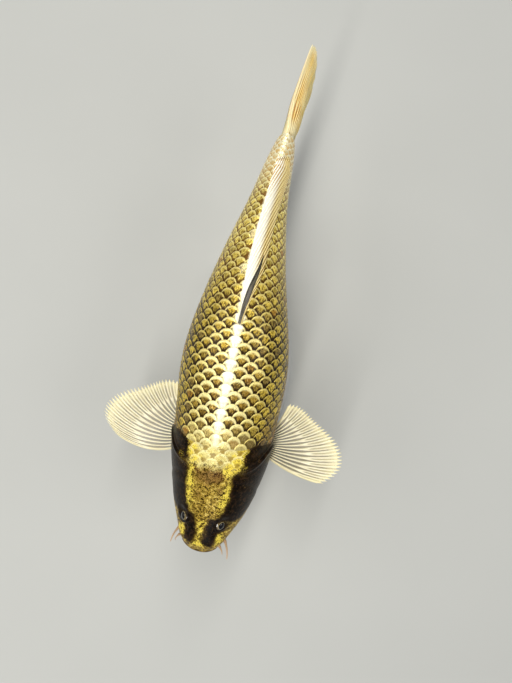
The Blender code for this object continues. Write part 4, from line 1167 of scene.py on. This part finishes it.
def folded(name, s_from, s_to, ns, nv_, form, mat, node):
    s, v = np.meshgrid(np.linspace(s_from, s_to, ns), np.linspace(0, 1, nv_), indexing="ij")
    ray = form(s, v)
    short = 2.6 * ease(0.2, 1.0, 1 - v) + 2.6 * (1 - peak(7.0 * ((s_to - 160) / 46 - v), 0.8))
    sag = s - short * ease(s_to - 14, s_to, s) if node == "dorsal_fin" else s
    x = -1.2 + (dorsal_width(s) + 1.2) * v
    a = np.arcsin(np.clip(x / half_width(s), -1, 1))
    up = dorsal_height(s) * (1 - 0.72 * v ** 1.5)
    up = np.maximum(up, 0.6) - (0.14 + 0.20 * ease(0.30, 0.65, v)) * (1 - ray)
    top = np.stack(skin(sag, a, 0.75 + up), -1)
    low = np.stack(skin(sag, a, np.where(v < 0.3, -1.2, 0.30) + 0 * v), -1)
    vv = np.concatenate([place(top[..., 0], top[..., 1], top[..., 2]).reshape(-1, 3),
                         place(low[..., 0], low[..., 1], low[..., 2]).reshape(-1, 3)])
    n1 = ns * nv_
    q = np.concatenate([grid_quads(ns, nv_), grid_quads(ns, nv_, base=n1, flip=True), rim_quads(ns, nv_, 0, n1)])
    two = lambda f: np.concatenate([f.ravel(), f.ravel()])
    ob = outward(make_mesh(name, vv, q, mat, attrs={"ray": two(ray), "v": two(v), "s": two(s),
                                                    "phi": two(7.0 * ((s - 160) / 46 - v)), "slate": two(slate_field(s, v))}))
    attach(ob, "root")
    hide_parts(node)
    return ob


dm = Mat("koi_dorsal", rough=0.30, metal=0.15, Coat_Weight=0.5, Coat_Roughness=0.12)
dn_al = dm.noise(dm.vec(dm.math("MULTIPLY", dm.attr("phi"), 2.2), dm.math("MULTIPLY", dm.attr("s"), 0.03), 0.0), 2.4, 4.0, 0.6)
dv, ds, dsl = dm.attr("v"), dm.attr("s"), dm.attr("slate")
# painted highlight: the fin's left half by the ridge is near-white in grooves and rays, the right half golden on brown;
# towards the front and the rear the grooves turn golden
groove = dm.mix(dm.step(dv, 0.34, 0.66), (0.97, 0.92, 0.74), (0.32, 0.165, 0.022))
groove = dm.mix(dm.step(ds, 240.0, 262.0), groove, (0.50, 0.30, 0.07))
groove = dm.mix(dm.step(ds, 185.0, 168.0), groove, (0.62, 0.46, 0.16))
dcol = dm.mix(dm.step(dm.math("ADD", dm.attr("ray"), dm.math("MULTIPLY", dm.math("SUBTRACT", dn_al, 0.5), 0.5)), 0.14, 0.46),
              groove, dm.mix(dm.step(dv, 0.36, 0.70), (1.0, 0.97, 0.84), (0.90, 0.74, 0.32)))
slate = dm.mix(dm.step(dn_al, 0.50, 0.64), (0.034, 0.028, 0.018), (0.24, 0.215, 0.15))
slate = dm.mix(dm.step(dsl, 0.66, 0.98), (0.004, 0.003, 0.002), slate)
dcol = dm.mix(dm.step(dm.math("ADD", dsl, dm.math("MULTIPLY", dm.math("SUBTRACT", dn_al, 0.5), 0.2)), 0.42, 0.56), dcol, slate)
dm.put("Base Color", dcol)
dm.bump(dn_al, 0.0002, 0.5)
folded("dorsal", SPINE_TIP, DORSAL_TIPS, 260, 81, dorsal_rays, dm.mat, "dorsal_fin")
folded("dorsal_spine", DORSAL_START, SPINE_TIP, 120, 81,
       lambda s, v: np.maximum(dorsal_rays(s, v) * 0.8, slate_field(s, v)), dm.mat, "dorsal_fin_front")

# ---- stand --------------------------------------------------------------------
st = Mat("stand_paint", rough=0.42, Coat_Weight=0.15, Coat_Roughness=0.25)
sn1 = st.noise(st.coords(), 2600.0, 2.0, 0.5)
sn2 = st.noise(st.coords(), 22.0, 3.0, 0.5)
st.put("Base Color", st.mix(st.step(sn2, 0.3, 0.7), (0.46, 0.465, 0.46), (0.50, 0.505, 0.50)))
st.put("Roughness", st.step(sn2, 0.3, 0.7, 0.38, 0.48))
st.bump(sn1, 0.00004, 0.4)
rd = Mat("stand_steel", rough=0.3, metal=1.0)
rn = rd.noise(rd.coords(), 900.0, 2.0, 0.6, stretch=(1.0, 1.0, 0.04))
rd.put("Base Color", rd.mix(rn, (0.50, 0.51, 0.53), (0.68, 0.69, 0.70)))
rd.put("Roughness", rd.step(rn, 0.3, 0.7, 0.22, 0.38))
rd.bump(rn, 0.00003, 0.5)
pad = Mat("stand_pad", rough=0.75)
pn = pad.noise(pad.coords(), 3000.0, 3.0, 0.6)
pad.put("Base Color", pad.mix(pn, (0.16, 0.155, 0.14), (0.25, 0.24, 0.215)))
pad.bump(pn, 0.0001, 0.6)


def turned(name, centre, profile, mat, sides=48):
    """A turned piece: profile is (radius, height) in metres above the centre."""
    ph = 2 * math.pi * np.arange(sides) / sides
    pr = np.array(profile)
    v = np.stack([pr[:, 0, None] * np.cos(ph), pr[:, 0, None] * np.sin(ph), pr[:, 1, None] + 0 * ph], -1) + centre
    n = len(pr)
    v = np.concatenate([v.reshape(-1, 3), [np.array(centre) + (0, 0, pr[0, 1]), np.array(centre) + (0, 0, pr[-1, 1])]])
    k, kn = np.arange(sides), np.roll(np.arange(sides), -1)
    tri = np.concatenate([np.stack([np.full(sides, n * sides), k, kn], -1),
                          np.stack([np.full(sides, n * sides + 1), (n - 1) * sides + kn, (n - 1) * sides + k], -1)])
    ob = outward(make_mesh(name, v, grid_quads(n, sides, wrap=True), mat, tris=tri))
    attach(ob, "root")
    return ob


def carry(node, mat):
    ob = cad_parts[node]
    if len(ob.material_slots):
        for sl in ob.material_slots:
            sl.material = mat
    else:
        ob.data.materials.append(mat)


carry("stand_base", st.mat)
for tag in ("front", "rear"):
    carry("stand_rod_" + tag, rd.mat)
    lo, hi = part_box("stand_rod_" + tag)
    cx, cy, foot, top_ = (lo[0] + hi[0]) / 2, (lo[1] + hi[1]) / 2, lo[2], hi[2]
    turned("stand_collar_" + tag, (cx, cy, foot - 0.0003),
           [(0.0060, 0.0), (0.0060, 0.0014), (0.0056, 0.0020), (0.0034, 0.0026), (0.0029, 0.0036), (0.0027, 0.0038)],
           rd.mat)
    turned("stand_pad_" + tag, (cx, cy, top_ - 0.0042),
           [(0.0028, 0.0), (0.0034, 0.0006), (0.0040, 0.0034), (0.0039, 0.0044), (0.0030, 0.0049), (0.0010, 0.0050)],
           pad.mat)

# ---- floor, light, camera -------------------------------------------------------
fm = Mat("floor", rough=0.85)
fm.put("Base Color", fm.mix(fm.noise(fm.coords(), 6.0, 3.0, 0.5), (0.46, 0.47, 0.46), (0.50, 0.51, 0.50)))
bpy.ops.mesh.primitive_plane_add(size=6.0, location=(0, 0, -0.0002))
floor = bpy.context.object
floor.name = "floor"
floor.data.materials.append(fm.mat)

world = bpy.data.worlds.new("studio")
bpy.context.scene.world = world
world.use_nodes = True
world.node_tree.nodes["Background"].inputs[0].default_value = (0.86, 0.93, 1.0, 1)
world.node_tree.nodes["Background"].inputs[1].default_value = 0.18


def softbox(name, at, aim, size, power, colour=(1, 1, 1), turn=None):
    data = bpy.data.lights.new(name, "AREA")
    data.shape, data.size, data.size_y, data.energy, data.color = "RECTANGLE", size[0], size[1], power, colour
    ob = bpy.data.objects.new(name, data)
    bpy.context.collection.objects.link(ob)
    ob.location = at
    ob.rotation_euler = (Vector(aim) - Vector(at)).to_track_quat("-Z", "Y").to_euler() if turn is None \
        else (0.0, 0.0, turn)
    return ob


softbox("strip", (-0.12, 0.13, 1.20), None, (0.13, 2.9), 21.0, (1.0, 0.97, 0.90), turn=-math.atan2(0.68, 2.03))
softbox("side_right", (1.0, -0.2, 0.9), (0.0, 0.0, 0.08), (0.7, 0.7), 4.0, (1.0, 0.96, 0.90))
softbox("side_left", (-1.0, 0.1, 0.9), (0.0, 0.0, 0.08), (0.7, 0.7), 4.0, (1.0, 0.96, 0.90))
softbox("front", (0.0, -1.4, 0.6), (0.0, 0.0, 0.08), (0.8, 0.5), 2.0)

cam = bpy.data.cameras.new("camera")
cam.sensor_fit, cam.sensor_width, cam.lens = "AUTO", 36.0, 520.0 / 683.0 * 36.0
cam.clip_start, cam.clip_end = 0.01, 50.0
cam_ob = bpy.data.objects.new("camera", cam)
bpy.context.collection.objects.link(cam_ob)
cam_ob.location, cam_ob.rotation_euler = (0.013, 0.0125, 0.452), (0.0, 0.0, 0.0)
bpy.context.scene.camera = cam_ob
bpy.context.scene.view_settings.view_transform = "Standard"
